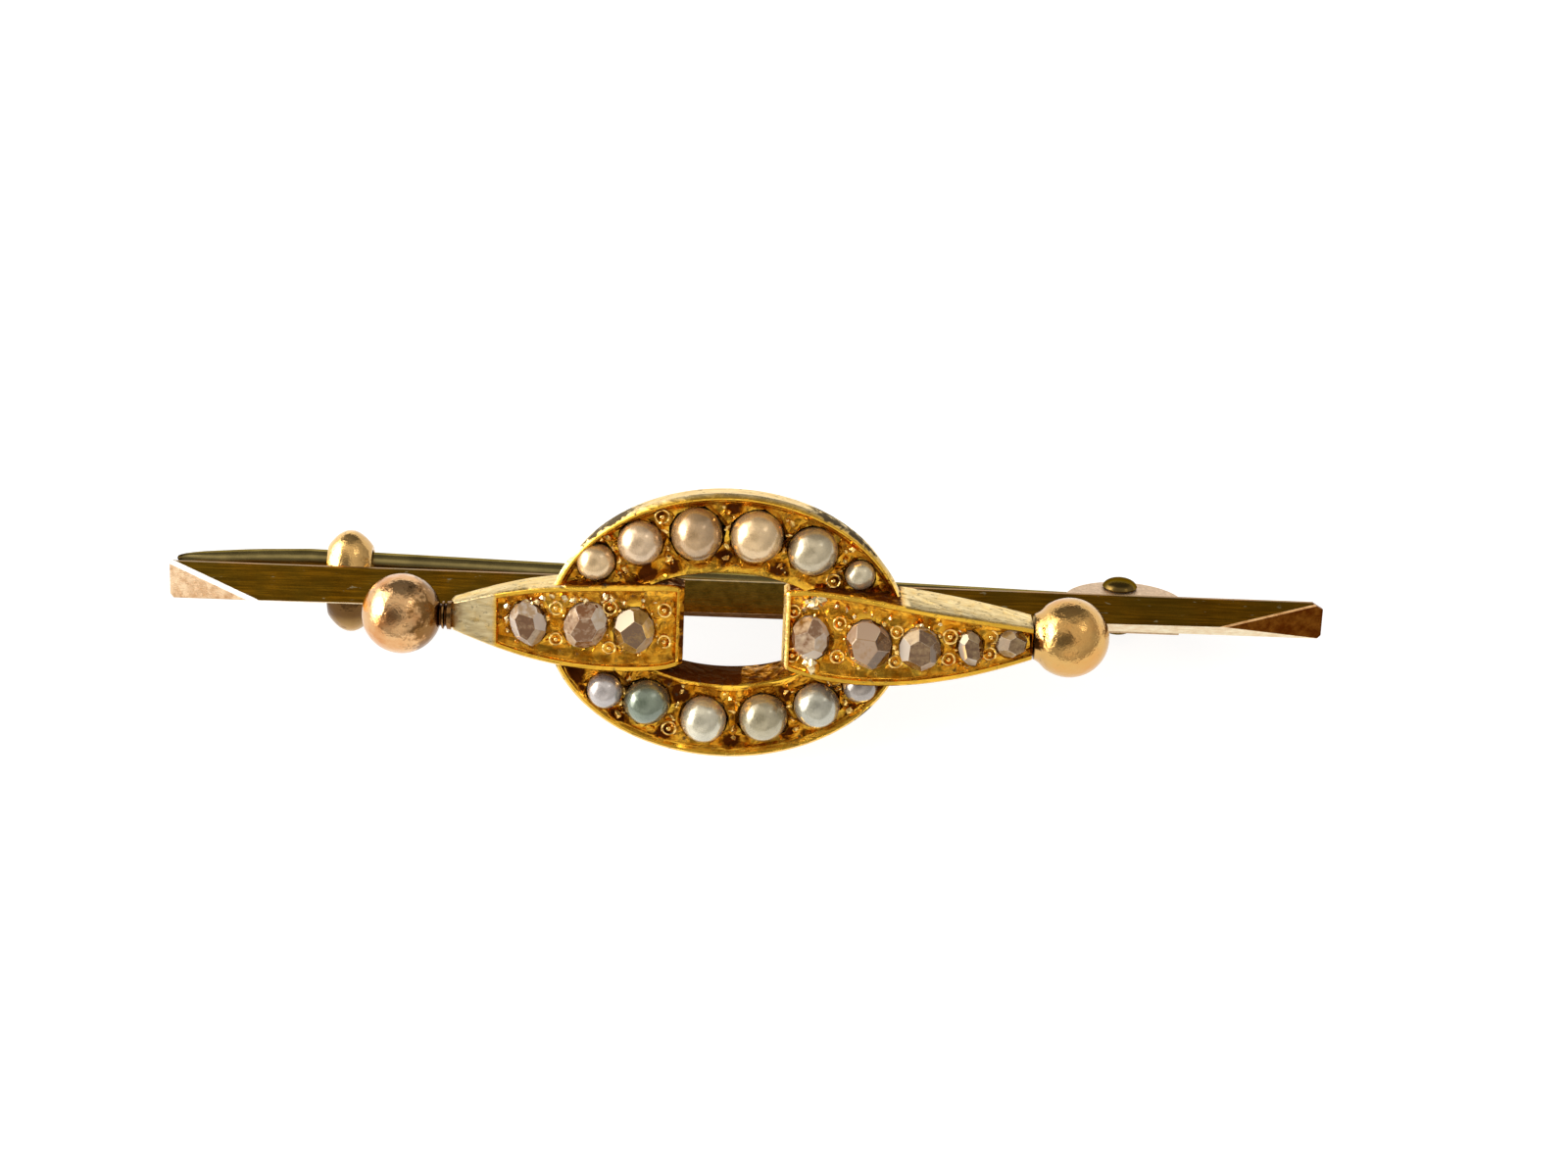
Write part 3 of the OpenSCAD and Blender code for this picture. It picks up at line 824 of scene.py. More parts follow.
# Corners worn off the bar: its side along x and y, and how far the wear reaches along x and y
WORN_CORNERS = ((1, 1, 0.42, 0.26), (1, -1, 0.16, 0.14), (-1, 1, 0.12, 0.1), (-1, -1, 0.16, 0.16))


def part_of_bar(n, x, half):
    """Which part of the bar, with its painted light or shade, a face belongs to, by its normal and its place."""
    if n.z > 0.8 and abs(n.y) < 0.2:
        return "left_hip" if x < 0 else "right_hip"
    between = SHADE_OF_STRAPS[0] < x < SHADE_OF_STRAPS[1]
    if n.z > 0.3 and n.y < -0.6:
        return "shaded" if between else "lower"
    if between:
        return "olive"
    if x > half - 0.45:
        return "right_hip"
    return "left_hip" if x < 0.3 - half else None


def model_bar(s):
    """A five-sided bar with a knife edge, its ends cut back to slanting hips."""
    bm = new_mesh()
    layers = {look.part: bm.faces.layers.float.new(look.part) for look in BAR_LOOKS}
    half, side = s.length / 2, s.width / 2
    profile = [(-side, 0), (side, 0), (side, s.edge), (0, s.height), (-side, s.edge)]
    end = bm.faces.new([bm.verts.new((-half, y, z)) for y, z in profile])
    made = bmesh.ops.extrude_face_region(bm, geom=[end])
    shift(bm, [g for g in made["geom"] if isinstance(g, bmesh.types.BMVert)], (s.length, 0, 0))
    for way, hip in ((-1, s.hip_left), (1, s.hip_right)):
        slice_off(bm, (way * half, 0, s.edge), (way * (s.height - s.edge), 0, hip))
    for v in bm.verts:
        v.co = worn_bar(v.co, s)
    bmesh.ops.recalc_face_normals(bm, faces=bm.faces)

    def is_upper_hip_edge(e):
        a, b = (v.co for v in e.verts)
        return abs(a.z - b.z) > 0.5 and a.y + b.y > 0

    hip_edges = [e for e in bm.edges if is_upper_hip_edge(e)]
    left = [e for e in hip_edges if e.verts[0].co.x < 0]
    right = [e for e in hip_edges if e.verts[0].co.x > 0]
    # The chamfers along the hips' upper edges are painted as highlights
    for edges, width, part in ((left, 0.11, "gleam"), (right, 0.05, "edge")):
        for f in bevel(bm, edges, width):
            f[layers[part]] = 1.0
    for x_side, y_side, along_x, along_y in WORN_CORNERS:
        tip = max(bm.verts, key=lambda v: (round(x_side * v.co.x, 2), y_side * v.co.y)).co.copy()
        slice_off(bm, tip - Vector((x_side * along_x, 0, 0)), (x_side * along_y, y_side * along_x, 0))
    bmesh.ops.recalc_face_normals(bm, faces=bm.faces)

    def is_plain(f):
        return f[layers["gleam"]] + f[layers["edge"]] < 0.5

    over = math.radians(25)
    bevel(bm, [e for e in bm.edges if e.calc_face_angle(0) > over and all(map(is_plain, e.link_faces))], 0.03)
    for x in SHADE_OF_STRAPS:
        bmesh.ops.bisect_plane(bm, geom=whole(bm), dist=1e-6, plane_co=(x, 0, 0), plane_no=(1, 0, 0))
    # Each plain face takes its part's painted reflection or shade
    for f in bm.faces:
        name = part_of_bar(f.normal, f.calc_center_median().x, half)
        if name and is_plain(f):
            f[layers[name]] = 1.0
    return bm


class BROOCH_OT_bar(bpy.types.Operator):
    """Model the knife-edged bar"""

    bl_idname = "brooch.bar"
    bl_label = "Bar"

    def execute(self, context):
        skin = material("bar_gold", bar_gold, colour_of("bar_gold"))
        finish_piece(model_bar(sizes_of("bar")), "bar", skin, smooth_under=12)
        return {"FINISHED"}


# The ring


def ring_floor(s):
    """Height of the ring's sunk floor."""
    return s.back + s.thickness - s.drop


def on_floor(p, s, margin):
    """Whether a place lies on the ring's sunk floor, clear of its borders."""
    outer = math.hypot((p.x - s.place) / (s.length / 2 - s.rim - margin), p.y / (s.width / 2 - s.rim - margin))
    inner = math.hypot((p.x - s.place) / (s.window_length / 2 + margin), p.y / (s.window_width / 2 + margin))
    return outer < 1 < inner


def model_ring(s):
    """The oval ring: leaning outer wall, raised rims and a worked floor between them."""
    bm = new_mesh()
    face, floor = s.back + s.thickness, ring_floor(s)
    outer, window = (s.length, s.width), (s.window_length, s.window_width)
    # Size of the oval, what is added to it, height, and how deep the metal seems there, which sets its painted
    # shade
    stations = [
        (outer, -2 * s.lean, s.back, 0.2),
        (outer, -1.2 * s.lean, s.back + 0.8, 0.1),
        (outer, 0, face - 0.18, 0.0),
        (outer, -0.26, face, 0.0),
        (outer, -0.42, face - 0.02, 0.1),
        (outer, -2 * s.rim - 0.1, floor + 0.05, 1.1),
    ]
    steps = 9
    start = [d - 2 * s.rim - 0.22 for d in outer]
    stop = [d + 2 * s.rim + 0.1 for d in window]
    for k in range(steps + 1):
        share = k / steps
        stations.append(([a + (b - a) * share for a, b in zip(start, stop)], 0, floor, 1.0))
    stations += [
        (window, 2 * s.rim - 0.1, face - 0.14, 0.5),
        (window, 0.14, face - 0.02, 0.1),
        (window, 0, face - 0.12, 0.1),
        (window, 0, s.back + 0.6, 0.9),
        (window, 0, s.back, 1.0),
    ]
    loops = []
    for (long, wide), more, z, recess in stations:
        verts = oval_loop(bm, long + more, wide + more, z, s.place)
        mark(bm, verts, "recess", recess)
        if z == floor:
            roughen(verts, 0.2, 0.9, 3)
            roughen(verts, 0.07, 0.35, 5)
        loops.append(verts)
    bridge(bm, loops, ring=True)
    for v in sum(loops[2:6], []):
        v.co.y += 0.1 * max(0.0, v.co.y / s.width * 2) ** 2
    mark(bm, sum(loops[4:7], []), "satin", 1.0)
    data = bm.verts.layers.float["recess"]
    # The floor is darkened near these patches: painted shade with some soiling
    for v in sum(loops[5:-4], []):
        near = max(1.4 - math.hypot(v.co.x - t.x, v.co.y - t.y) / t.reach for t in FLOOR_SHADE_AND_SOILING)
        v[data] = max(v[data], 1.8 * near)
    # The window's lower inner wall is painted dark, darkest on its left: a painted reflection of the shaded table
    # under the bar
    for v in sum(loops[-3:], []):
        if v.co.y < 0:
            v[data] = 3.0 if v.co.x < -0.1 else 1.3

    def tarnish(p):
        near = max(1.4 - 1.4 * math.hypot(p.x - t.x, p.y - t.y) / t.reach for t in WALL_STAINS)
        return max(0.0, near) * (0.3 + 0.7 * p.z / face)

    wall = sum(loops[:3], [])
    mark(bm, wall, "stain", tarnish)
    # The outer wall is painted pale, as reflected light of the white table
    mark(bm, wall, "pale", 1.0)
    return bm


def pearl_seats(s):
    """Cutters for the seats: uneven many-sided cups, a little wider than each pearl."""
    bm = new_mesh()
    floor = ring_floor(s)
    dice = random.Random(11)
    for p in PEARLS:
        sides = dice.choice((11, 12, 14))
        lip = p.d / 2 + dice.uniform(0.0, 0.04)
        verts = bmesh.ops.create_cone(
            bm, cap_ends=True, segments=sides, radius1=p.d * 0.4, radius2=lip * 1.05, depth=1.3
        )["verts"]
        for v in verts:
            v.co.xy *= 1 + dice.uniform(-0.02, 0.07)
        rotate(bm, verts, dice.uniform(0, 1))
        shift(bm, verts, (p.x, p.y, floor - 0.5))
        # The seat walls are painted dark, as shade round each pearl
        mark(bm, verts, "recess", 1.5)
    return bm


def add_bead(bm, place, reach):
    """A round bead inside a thin raised thread, as a graver leaves it."""
    shift(bm, ball_of(bm, reach * 0.5, 3), place)
    before = set(bm.verts)
    line = bmesh.ops.create_circle(bm, segments=6, radius=reach * 0.1)["verts"]
    rotate(bm, line, math.pi / 2, "X")
    shift(bm, line, (reach * 0.58, 0, 0))
    bmesh.ops.spin(
        bm, geom=line + edges_among(line), cent=(0, 0, 0), axis=UP, angle=math.tau, steps=24, use_merge=True
    )
    shift(bm, [v for v in bm.verts if v not in before], place)


def lump(size, dice, slim=0.5):
    """The measures of a nugget that is slimmer one way."""
    return size, size * dice.uniform(slim, 1.0), size


def add_nugget(bm, place, size, dice, pale=0.0):
    """An irregular, many-faced lump of gold."""
    verts = ball_of(bm, 1.0, 1)
    # Painted pale where asked, standing in for a glint
    mark(bm, verts, "pale", pale)
    for v in verts:
        v.co *= dice.uniform(0.75, 1.15)
    bmesh.ops.scale(bm, verts=verts, vec=size)
    rotate(bm, verts, dice.uniform(0, 3))
    shift(bm, verts, place)


def ring_grains(s):
    """Metal raised between neighbouring pearls, on both sides of each gap: a bead or a nugget, chips,
    and small bright prongs that lean on the pearls."""
    bm = new_mesh()
    floor = ring_floor(s)
    dice = random.Random(5)
    for side in (PEARLS[:6], PEARLS[6:]):
        for a, b in zip(side, side[1:]):
            share = a.d / (a.d + b.d)
            middle = Vector((a.x + (b.x - a.x) * share, a.y + (b.y - a.y) * share, floor))
            across = Vector((-(b.y - a.y), b.x - a.x, 0)).normalized()
            for way in (-1, 1):
                place = middle + across * way * (0.2 * (a.d + b.d) + dice.uniform(0.06, 0.14))
                if not on_floor(place, s, -0.1):
                    continue
                size = dice.uniform(0.3, 0.42)
                if dice.random() < 0.2:
                    add_bead(bm, place + UP * 0.04, size * 1.2)
                else:
                    add_nugget(bm, place + UP * 0.06, lump(size, dice, 0.6), dice)
                for _ in range(2):
                    near = place + Vector((dice.uniform(-0.3, 0.3), dice.uniform(-0.3, 0.3), 0.08))
                    add_nugget(bm, near, lump(dice.uniform(0.1, 0.2), dice), dice)
                claw = middle + across * way * dice.uniform(0.22, 0.4) + UP * 0.14
                add_nugget(bm, claw, (dice.uniform(0.12, 0.2), dice.uniform(0.24, 0.42), 0.2), dice)
    return bm


class BROOCH_OT_ring(bpy.types.Operator):
    """Model the oval ring, its pearl seats and the beads between the pearls"""

    bl_idname = "brooch.ring"
    bl_label = "Ring"

    def execute(self, context):
        s = sizes_of("ring")
        bm = cut_out(model_ring(s), pearl_seats(s))
        for strap in STRAPS:
            bm = cut_out(bm, strap_hollow(strap, sizes_of("straps")))
        finish_piece(bm, "pearl_ring", deep_gold(), smooth_under=40)
        finish_piece(ring_grains(s), "ring_grains", bright_gold(), smooth_under=25)
        return {"FINISHED"}


# The straps


def along(strap, column, x):
    """Value of a column of a strap's outline at x, on a smooth curve through its rows."""
    t = strap.outline
    k = max([i for i in range(len(t) - 1) if i == 0 or t[i].x <= x])
    value = [getattr(row, column) for row in t]
    span = t[k + 1].x - t[k].x
    u = min(1.0, max(0.0, (x - t[k].x) / span))

    def slope(i):
        low, high = max(i - 1, 0), min(i + 1, len(t) - 1)
        return (value[high] - value[low]) / (t[high].x - t[low].x)

    return (
        (2 * u**3 - 3 * u**2 + 1) * value[k]
        + (u**3 - 2 * u**2 + u) * span * slope(k)
        + (3 * u**2 - 2 * u**3) * value[k + 1]
        + (u**3 - u**2) * span * slope(k + 1)
    )


def floor_of(strap, s, x):
    """Height of a strap's sunk floor at x."""
    return along(strap, "top", x) - s.drop


def strap_of(stone):
    """The strap that carries a stone."""
    return STRAPS[0] if stone.x < 0 else STRAPS[1]


def strap_hollow(strap, s):
    """A cutter for the space over a strap's floor, so that the ring's border doesn't come through it."""
    bm = new_mesh()
    start, stop = strap.floor
    under, above, steps = 0.2, 6, 20
    loops = []
    for k in range(steps + 1):
        x = start + (stop - start) * k / steps
        low, half = floor_of(strap, s, x) - under, along(strap, "half", x) - s.rim - 0.02
        corners = ((-half, low), (half, low), (half, above), (-half, above))
        loops.append(closed_line(bm, [(x, y - s.shift, z) for y, z in corners]))
    # The ring's faces cut under the straps are painted dark, as shade
    mark(bm, bm.verts, "recess", 1.0)
    bridge(bm, loops)
    return bm


def strap_places(strap, s):
    """Where the cross-sections of a strap stand along it, and how far the floor is sunk at each."""
    first, last = strap.outline[0].x, strap.outline[-1].x
    floor_from, floor_to = strap.floor
    lip, level, steps = 0.05, 0.01, 44
    places = [(floor_from, level), (floor_from + lip, s.drop), (floor_to - lip, s.drop), (floor_to, level)]
    places += [(first + 0.13, level), (last - 0.13, level)]
    for k in range(steps + 1):
        x = first + (last - first) * k / steps
        if min(abs(x - floor_from), abs(x - floor_to)) >= 3 * lip:
            places.append((x, s.drop if floor_from < x < floor_to else level))
    return sorted(places)


def strap_section(s, top, half, drop, sunk):
    """A strap's cross-section: place across, height, and how deep the metal seems there, which sets its painted
    shade.
    """
    inner = half - s.rim
    deep, low = float(sunk), 0.5 * sunk
    points = [(-half + 0.05, s.back, 0.3), (half - 0.05, s.back, 0.3), (half, top - 0.1, 0.0)]
    points += [(half - 0.08, top, 0.0), (inner + 0.05, top, 0.0), (inner, top - drop * 0.5, low)]
    steps = 8
    for k in range(steps + 1):
        share = 1 - 2 * k / steps
        points.append((share * (inner - 0.04), top - drop * (0.6 if k in (0, steps) else 1.0), deep))
    points += [(-inner, top - drop * 0.5, low), (-inner - 0.05, top, 0.0)]
    return points + [(-half + 0.08, top, 0.0), (-half, top - 0.1, 0.0)]


def model_strap(strap, s):
    """An arched, tapering slab with raised borders round a sunk, worked floor."""
    bm = new_mesh()
    floor_from, floor_to = strap.floor
    ends = (strap.outline[0].x, strap.outline[-1].x)
    loops = []
    for x, drop in strap_places(strap, s):
        top, half = along(strap, "top", x), along(strap, "half", x)
        if x in ends:
            top, half = top - 0.14, half - 0.1
        sunk = drop > 0.1
        points = strap_section(s, top, half, drop, sunk)
        loop = closed_line(bm, [(x, y - s.shift, z) for y, z, _ in points])
        for v, (_, _, recess) in zip(loop, points):
            mark(bm, [v], "recess", recess)
        walls = loop[:3] + loop[-1:]
        # Painted light and shade: the plain end, the wide end and the walls clear of the ring are painted pale,
        # as reflected light and glints; the end past the floor and the walls over the ring are painted dark, as
        # shade
        if x < strap.plain_until:
            mark(bm, loop, "pale", 1.0)
        elif x > floor_to:
            mark(bm, loop, "recess", 1.4)
        elif x < floor_from:
            mark(bm, loop, "pale", 0.6)
        elif OVER_RING[0] < x < OVER_RING[1]:
            mark(bm, walls, "recess", 1.6)
        else:
            mark(bm, walls, "pale", 1.0)
        if sunk:
            roughen(loop[7:14], 0.16, 0.7, strap.floor_seed)
            roughen(loop[7:14], 0.06, 0.3, strap.floor_seed + 1)
            mark(bm, loop[5:8] + loop[13:16], "satin", 1.0)
        loops.append(loop)
    bridge(bm, loops)
    return bm


def stone_place(stone, s):
    """Where a stone stands: on its strap's floor, square to it, turned."""
    strap = strap_of(stone)
    reach = 0.1
    rise = along(strap, "top", stone.x + reach) - along(strap, "top", stone.x - reach)
    return (
        Matrix.Translation((stone.x, stone.y, floor_of(strap, s, stone.x)))
        @ Matrix.Rotation(-math.atan2(rise, 2 * reach), 4, "Y")
        @ Matrix.Rotation(math.radians(stone.turn), 4, "Z")
    )


def stone_seats(strap, s):
    """Cutters for the stones' seats, a little wider than the stones and uneven."""
    bm = new_mesh()
    dice = random.Random(strap.seat_seed)
    for stone in STONES:
        if strap_of(stone) is not strap:
            continue
        verts = bmesh.ops.create_cone(
            bm, cap_ends=True, segments=14, radius1=0.98, radius2=1.12, depth=0.8
        )["verts"]
        for v in verts:
            v.co.xy *= 1 + dice.uniform(-0.03, 0.05)
        bmesh.ops.scale(bm, verts=verts, vec=(stone.w / 2, stone.h / 2, 1))
        shift(bm, verts, (0, 0, 0.17))
        bmesh.ops.transform(bm, matrix=stone_place(stone, s), verts=verts)
        # The seat walls are painted dark, as shade round each stone
        mark(bm, verts, "recess", 1.5)
    return bm


def strap_grains(strap, s):
    """Gold on a strap's floor between its stones: round grains, each in a raised thread, and small chips."""
    bm = new_mesh()
    dice = random.Random(strap.grain_seed)

    def at(x, y, rise):
        return Vector((x, y, floor_of(strap, s, x) + rise))

    for g in strap.grains:
        add_bead(bm, at(g.x, g.y, 0.05), GRAIN * dice.uniform(0.95, 1.1))
    for band in strap.sparks:
        for _ in range(band.count):
            x = dice.uniform(band.start, band.stop)
            y = dice.uniform(band.low, band.high) * along(strap, "half", x) - s.shift
            chip = band.size * dice.uniform(0.6, 1.1)
            # The chips are painted pale, as glints
            add_nugget(bm, at(x, y, 0.1), lump(chip, dice), dice, pale=1.0)
    for stone in STONES:
        if strap_of(stone) is not strap:
            continue
        for _ in range(7):
            turn = dice.uniform(0, math.tau)
            x = stone.x + 0.55 * stone.w * math.cos(turn)
            y = stone.y + 0.55 * stone.h * math.sin(turn)
            if abs(y + s.shift) <= along(strap, "half", x) - s.rim:
                add_nugget(bm, at(x, y, 0.07), lump(dice.uniform(0.12, 0.24), dice), dice)
    return bm


class BROOCH_OT_straps(bpy.types.Operator):
    """Model the two arched straps with their stone seats and grains"""

    bl_idname = "brooch.straps"
    bl_label = "Straps"

    def execute(self, context):
        s = sizes_of("straps")
        for strap in STRAPS:
            bm = cut_out(model_strap(strap, s), stone_seats(strap, s))
            finish_piece(bm, strap.name + "_strap", deep_gold(), smooth_under=40)
        for strap in STRAPS:
            finish_piece(strap_grains(strap, s), strap.name + "_grains", bright_gold())
        return {"FINISHED"}


# The balls


def model_ball(x, s, towards, neck, seed):
    """A polished ball and its neck, turned in one."""
    bm = new_mesh()
    r = s.ball / 2
    steps = 40
    stop = math.asin(neck[0].radius / r)
    bearings = [math.pi + (stop - math.pi) * k / steps for k in range(1, steps + 1)]
    profile = [(-r, 0.0)] + [(r * math.cos(a), r * math.sin(a)) for a in bearings]
    profile += [(row.distance, row.radius) for row in neck[1:]]
    profile.append((neck[-1].distance, 0.0))
    turned(bm, profile, 72, (towards, 0, 0), (x, 0, s.ball_height))
    # Painted shade in the neck's grooves and at its narrow end
    for v in bm.verts:
        for row in neck[1:]:
            if abs((v.co.x - x) * towards - row.distance) < 0.005:
                mark(bm, [v], "recess", row.dark)
    roughen(bm.verts, 0.02, 1.4, seed, (0.6, 0.6, 0.6))
    return bm


class BROOCH_OT_balls(bpy.types.Operator):
    """Model the two polished balls and their necks"""

    bl_idname = "brooch.balls"
    bl_label = "Balls"

    def execute(self, context):
        s = sizes_of("straps")
        left = model_ball(s.left_ball, s, 1, GROOVED_NECK, 2)
        right = model_ball(s.right_ball, s, -1, FLARED_NECK, 6)
        # The left ball's right side is darkened: painted reflection of the strap's shaded side, with some patina
        side = [v for v in left.verts if v.co.x > s.left_ball]
        mark(left, side, "stain", lambda p: 0.28 * (p.x - s.left_ball))
        # A dark spot is painted where the collar's hole is: painted shade, no hole is cut
        hole = Vector((s.right_ball - 1.24, 0.05, s.ball_height + 0.92))
        mark(right, [v for v in right.verts if (v.co - hole).length < 0.26], "recess", 1.0)
        red = material("red_gold", polished_ball_gold, colour_of("red_gold"), (0.62, 0.27, 0.09))
        pale = material("pale_gold", polished_ball_gold, colour_of("pale_gold"), (0.66, 0.34, 0.10))
        finish_piece(left, "left_ball", red)
        finish_piece(right, "right_ball", pale)
        return {"FINISHED"}


# Hinge, pin and catch


def model_ears(s, bar):
    """Two round plates under the bar that hold the rivet."""
    bm = new_mesh()
    for side in (-1, 1):
        verts = bmesh.ops.create_cone(
            bm, cap_ends=True, segments=96, radius1=s.ear_radius, radius2=s.ear_radius, depth=s.ear_thickness
        )["verts"]
        rotate(bm, verts, math.pi / 2, "X")
        shift(bm, verts, (s.hinge, side * (bar.width - s.ear_thickness) / 2, s.ear_radius - s.ear_depth))
        edges = {e for v in verts for e in v.link_edges}
        faces = {f for v in verts for f in v.link_faces}
        slice_off(bm, (0, 0, 0.05), (0, 0, 1), verts + list(edges) + list(faces))
    for v in bm.verts:
        v.co.x += 0.03 * max(0.0, v.co.x - s.hinge)
    soften(bm, 0.035, 40)
    return bm


def model_rivet(s, bar):
    """The rivet's shank with a domed head at both ends."""
    bm = new_mesh()
    seat = bar.width / 2 + s.play
    r = s.head / 2
    steps = 9
    bearings = [math.pi / 2 * k / steps for k in range(1, steps)]
    half = [(seat, s.rivet / 2), (seat, r * 0.96), (seat + 0.05, r)]
    half += [(seat + s.head_height * math.sin(a), r * math.cos(a)) for a in bearings]
    half.append((seat + s.head_height, 0.0))
    profile = [(-d, radius) for d, radius in reversed(half)] + half
    turned(bm, profile, 48, (0, 1, 0), (s.hinge, 0, -s.rivet_drop))
    return bm


def model_pin(s, bar):
    """The pin stem: a drilled knuckle, a round shaft and a slim point."""
    bm = new_mesh()
    centre = Vector((s.hinge, 0, -s.rivet_drop))
    half, hole, r, soft = s.knuckle_width / 2, s.rivet / 2 + s.play, s.knuckle / 2, 0.05
    ring = [(-half, hole), (-half, r - soft), (-half + soft, r), (half - soft, r), (half, r - soft), (half, hole)]
    turned(bm, ring + ring[:1], 64, (0, 1, 0), tuple(centre))
    reach = s.hinge + bar.length / 2 - s.short
    taper = reach - s.point
    # Distance from the rivet and diameter
    sections = [(0.62, s.pin), (1.6, s.pin), (2.6, s.pin), (taper * 0.5, (s.pin + s.pin_thin) / 2)]
    sections += [(taper - before, s.pin_thin) for before in (3.4, 1.8, 1.4, 0.9, 0)]
    sections += [(taper + s.point * row.share, s.pin_thin * row.thickness) for row in POINT_TAPER]
    sections += [(reach, 0.22), (reach + 0.04, 0.12), (reach + 0.06, 0.02)]
    # From the rivet through the middle of the catch's mouth, and past the catch a little sideways
    mouth, flat_until, bent = 1.45, 3, 0.22
    direction = Vector((-(s.hinge + s.catch_left), 0.5, -(mouth - s.rivet_drop))).normalized()
    turn = direction.to_track_quat("Z", "Y").to_matrix().to_4x4()
    loops = []
    for distance, diameter in sections:
        wide = min(diameter, s.knuckle_width) if distance < flat_until else diameter
        verts = oval_loop(bm, diameter, wide, segments=40)
        middle = centre + direction * distance
        past_catch = -(middle.x + s.catch_left)
        middle.y -= bent * min(1.0, max(0.0, (past_catch - 1.6) / 3.6))
        bmesh.ops.transform(bm, matrix=Matrix.Translation(middle) @ turn, verts=verts)
        loops.append(verts)
    bridge(bm, loops)
    return bm


def model_catch(s):
    """A strip domed across its width, bent to an oval C with its mouth to the back."""
    bm = new_mesh()
    radius, half = s.catch_depth / 2, s.catch_width / 2
    crown = s.catch_thickness - 0.1
    steps = 12
    shares = [-1 + 2 * k / steps for k in range(steps + 1)]
    section = [(a * s.catch_width / 2, radius - crown * a * a) for a in shares]
    section += [(half - 0.02, radius - s.catch_thickness), (-half + 0.02, radius - s.catch_thickness)]
    begin, end = math.radians(-52), math.radians(275)
    face = bm.faces.new([bm.verts.new((x, r * math.cos(begin), r * math.sin(begin))) for x, r in section])
    bmesh.ops.spin(
        bm, geom=[face], cent=(0, 0, 0), axis=(1, 0, 0), angle=end - begin, steps=80, use_duplicate=False
    )
    soften(bm, 0.03, 45)
    bmesh.ops.scale(bm, verts=bm.verts, vec=(1, s.catch_height / s.catch_depth, 1))
    shift(bm, bm.verts, (-s.catch_left, -0.2, 0.05 - radius))
    roughen(bm.verts, 0.03, 0.9, 8, (0, 0.7, 0.7))
    return bm


class BROOCH_OT_hinge(bpy.types.Operator):
    """Model the hinge ears and the domed rivet"""

    bl_idname = "brooch.hinge"
    bl_label = "Hinge"

    def execute(self, context):
        s, bar = sizes_of("back"), sizes_of("bar")
        pale = material("ear_gold", matte_gold, (0.74, 0.52, 0.32))
        finish_piece(model_ears(s, bar), "hinge_ears", pale, weighted=True)
        dark = material("rivet_metal", drawn_wire, (0.14, 0.09, 0.025))
        finish_piece(model_rivet(s, bar), "rivet", dark, node="hinge_rivet")
        return {"FINISHED"}


class BROOCH_OT_pin(bpy.types.Operator):
    """Model the pin stem, which swings on the rivet"""

    bl_idname = "brooch.pin"
    bl_label = "Pin"

    def execute(self, context):
        s, bar = sizes_of("back"), sizes_of("bar")
        wire = material("pin_wire", drawn_wire, colour_of("pin_metal"))
        bm = model_pin(s, bar)
        tip = s.short - bar.length / 2
        # The point is painted dark, as painted shade
        mark(bm, bm.verts, "recess", lambda p: min(1.0, max(0.0, (tip + 0.55 - p.x) / 0.4)))
        finish_piece(bm, "pin", wire, node="pin_stem", body=PIN_BODY, smooth_under=60)
        return {"FINISHED"}


def catch_shade(p, s):
    """How much painted shade and painted reflection darken the catch: above the bar on its right half, below the
    bar all over.
    """
    if p.y < -0.4:
        return max(0.4, min(0.92, 0.92 + 0.6 * (p.y + 1.3)))
    return 0.4 * max(0.0, min(1.0, 0.3 + 2 * (p.x + s.catch_left)))


class BROOCH_OT_catch(bpy.types.Operator):
    """Model the domed C-shaped catch"""

    bl_idname = "brooch.catch"
    bl_label = "Catch"

    def execute(self, context):
        s = sizes_of("back")
        bm = model_catch(s)
        # The catch is darkened with painted shade and painted reflection
        mark(bm, bm.verts, "recess", lambda p: catch_shade(p, s))
        amber = material("catch_gold", polished_ball_gold, (0.95, 0.60, 0.22), (0.70, 0.40, 0.13))
        finish_piece(bm, "catch", amber)
        return {"FINISHED"}


# Pearls and stones


def model_pearl(p, height, uneven, seed):
    """A pearl: nearly round, a little flattened, with soft dents."""
    bm = new_mesh()
    verts = ball_of(bm, p.d, 5)
    if uneven:
        bmesh.ops.scale(bm, vec=(p.stretch, p.squash, 0.98), verts=verts)
        rotate(bm, verts, math.radians(p.turn))
        offset = Vector((seed, seed * 2.3, seed * 0.7))
        for v in verts:
            v.co *= 1 + 0.03 * noise.noise(v.co * 1.3 + offset) + 0.008 * noise.noise(v.co * 5 + offset)
    # The lower part is painted darker and amber: painted shade and reflection near the seat
    mark(bm, verts, "recess", lambda c: min(0.9, max(0.0, 0.68 - 2.0 * c.z / p.d)))
    shift(bm, verts, (p.x, p.y, height))
    return bm


class BROOCH_OT_pearls(bpy.types.Operator):
    """Model the twelve seed pearls"""

    bl_idname = "brooch.pearls"
    bl_label = "Pearls"

    def execute(self, context):
        height = ring_floor(sizes_of("ring")) + 0.05
        uneven = context.scene.brooch_finish.bent_pearls
        for k, p in enumerate(PEARLS):
            rgb, slot = TINTS[p.tint]
            skin = material("nacre_" + p.tint, nacre, rgb)
            bm = model_pearl(p, height, uneven, 3.1 * k)
            finish_piece(bm, "seed_" + p.node, skin, node=p.node, smooth_under=180)
        return {"FINISHED"}


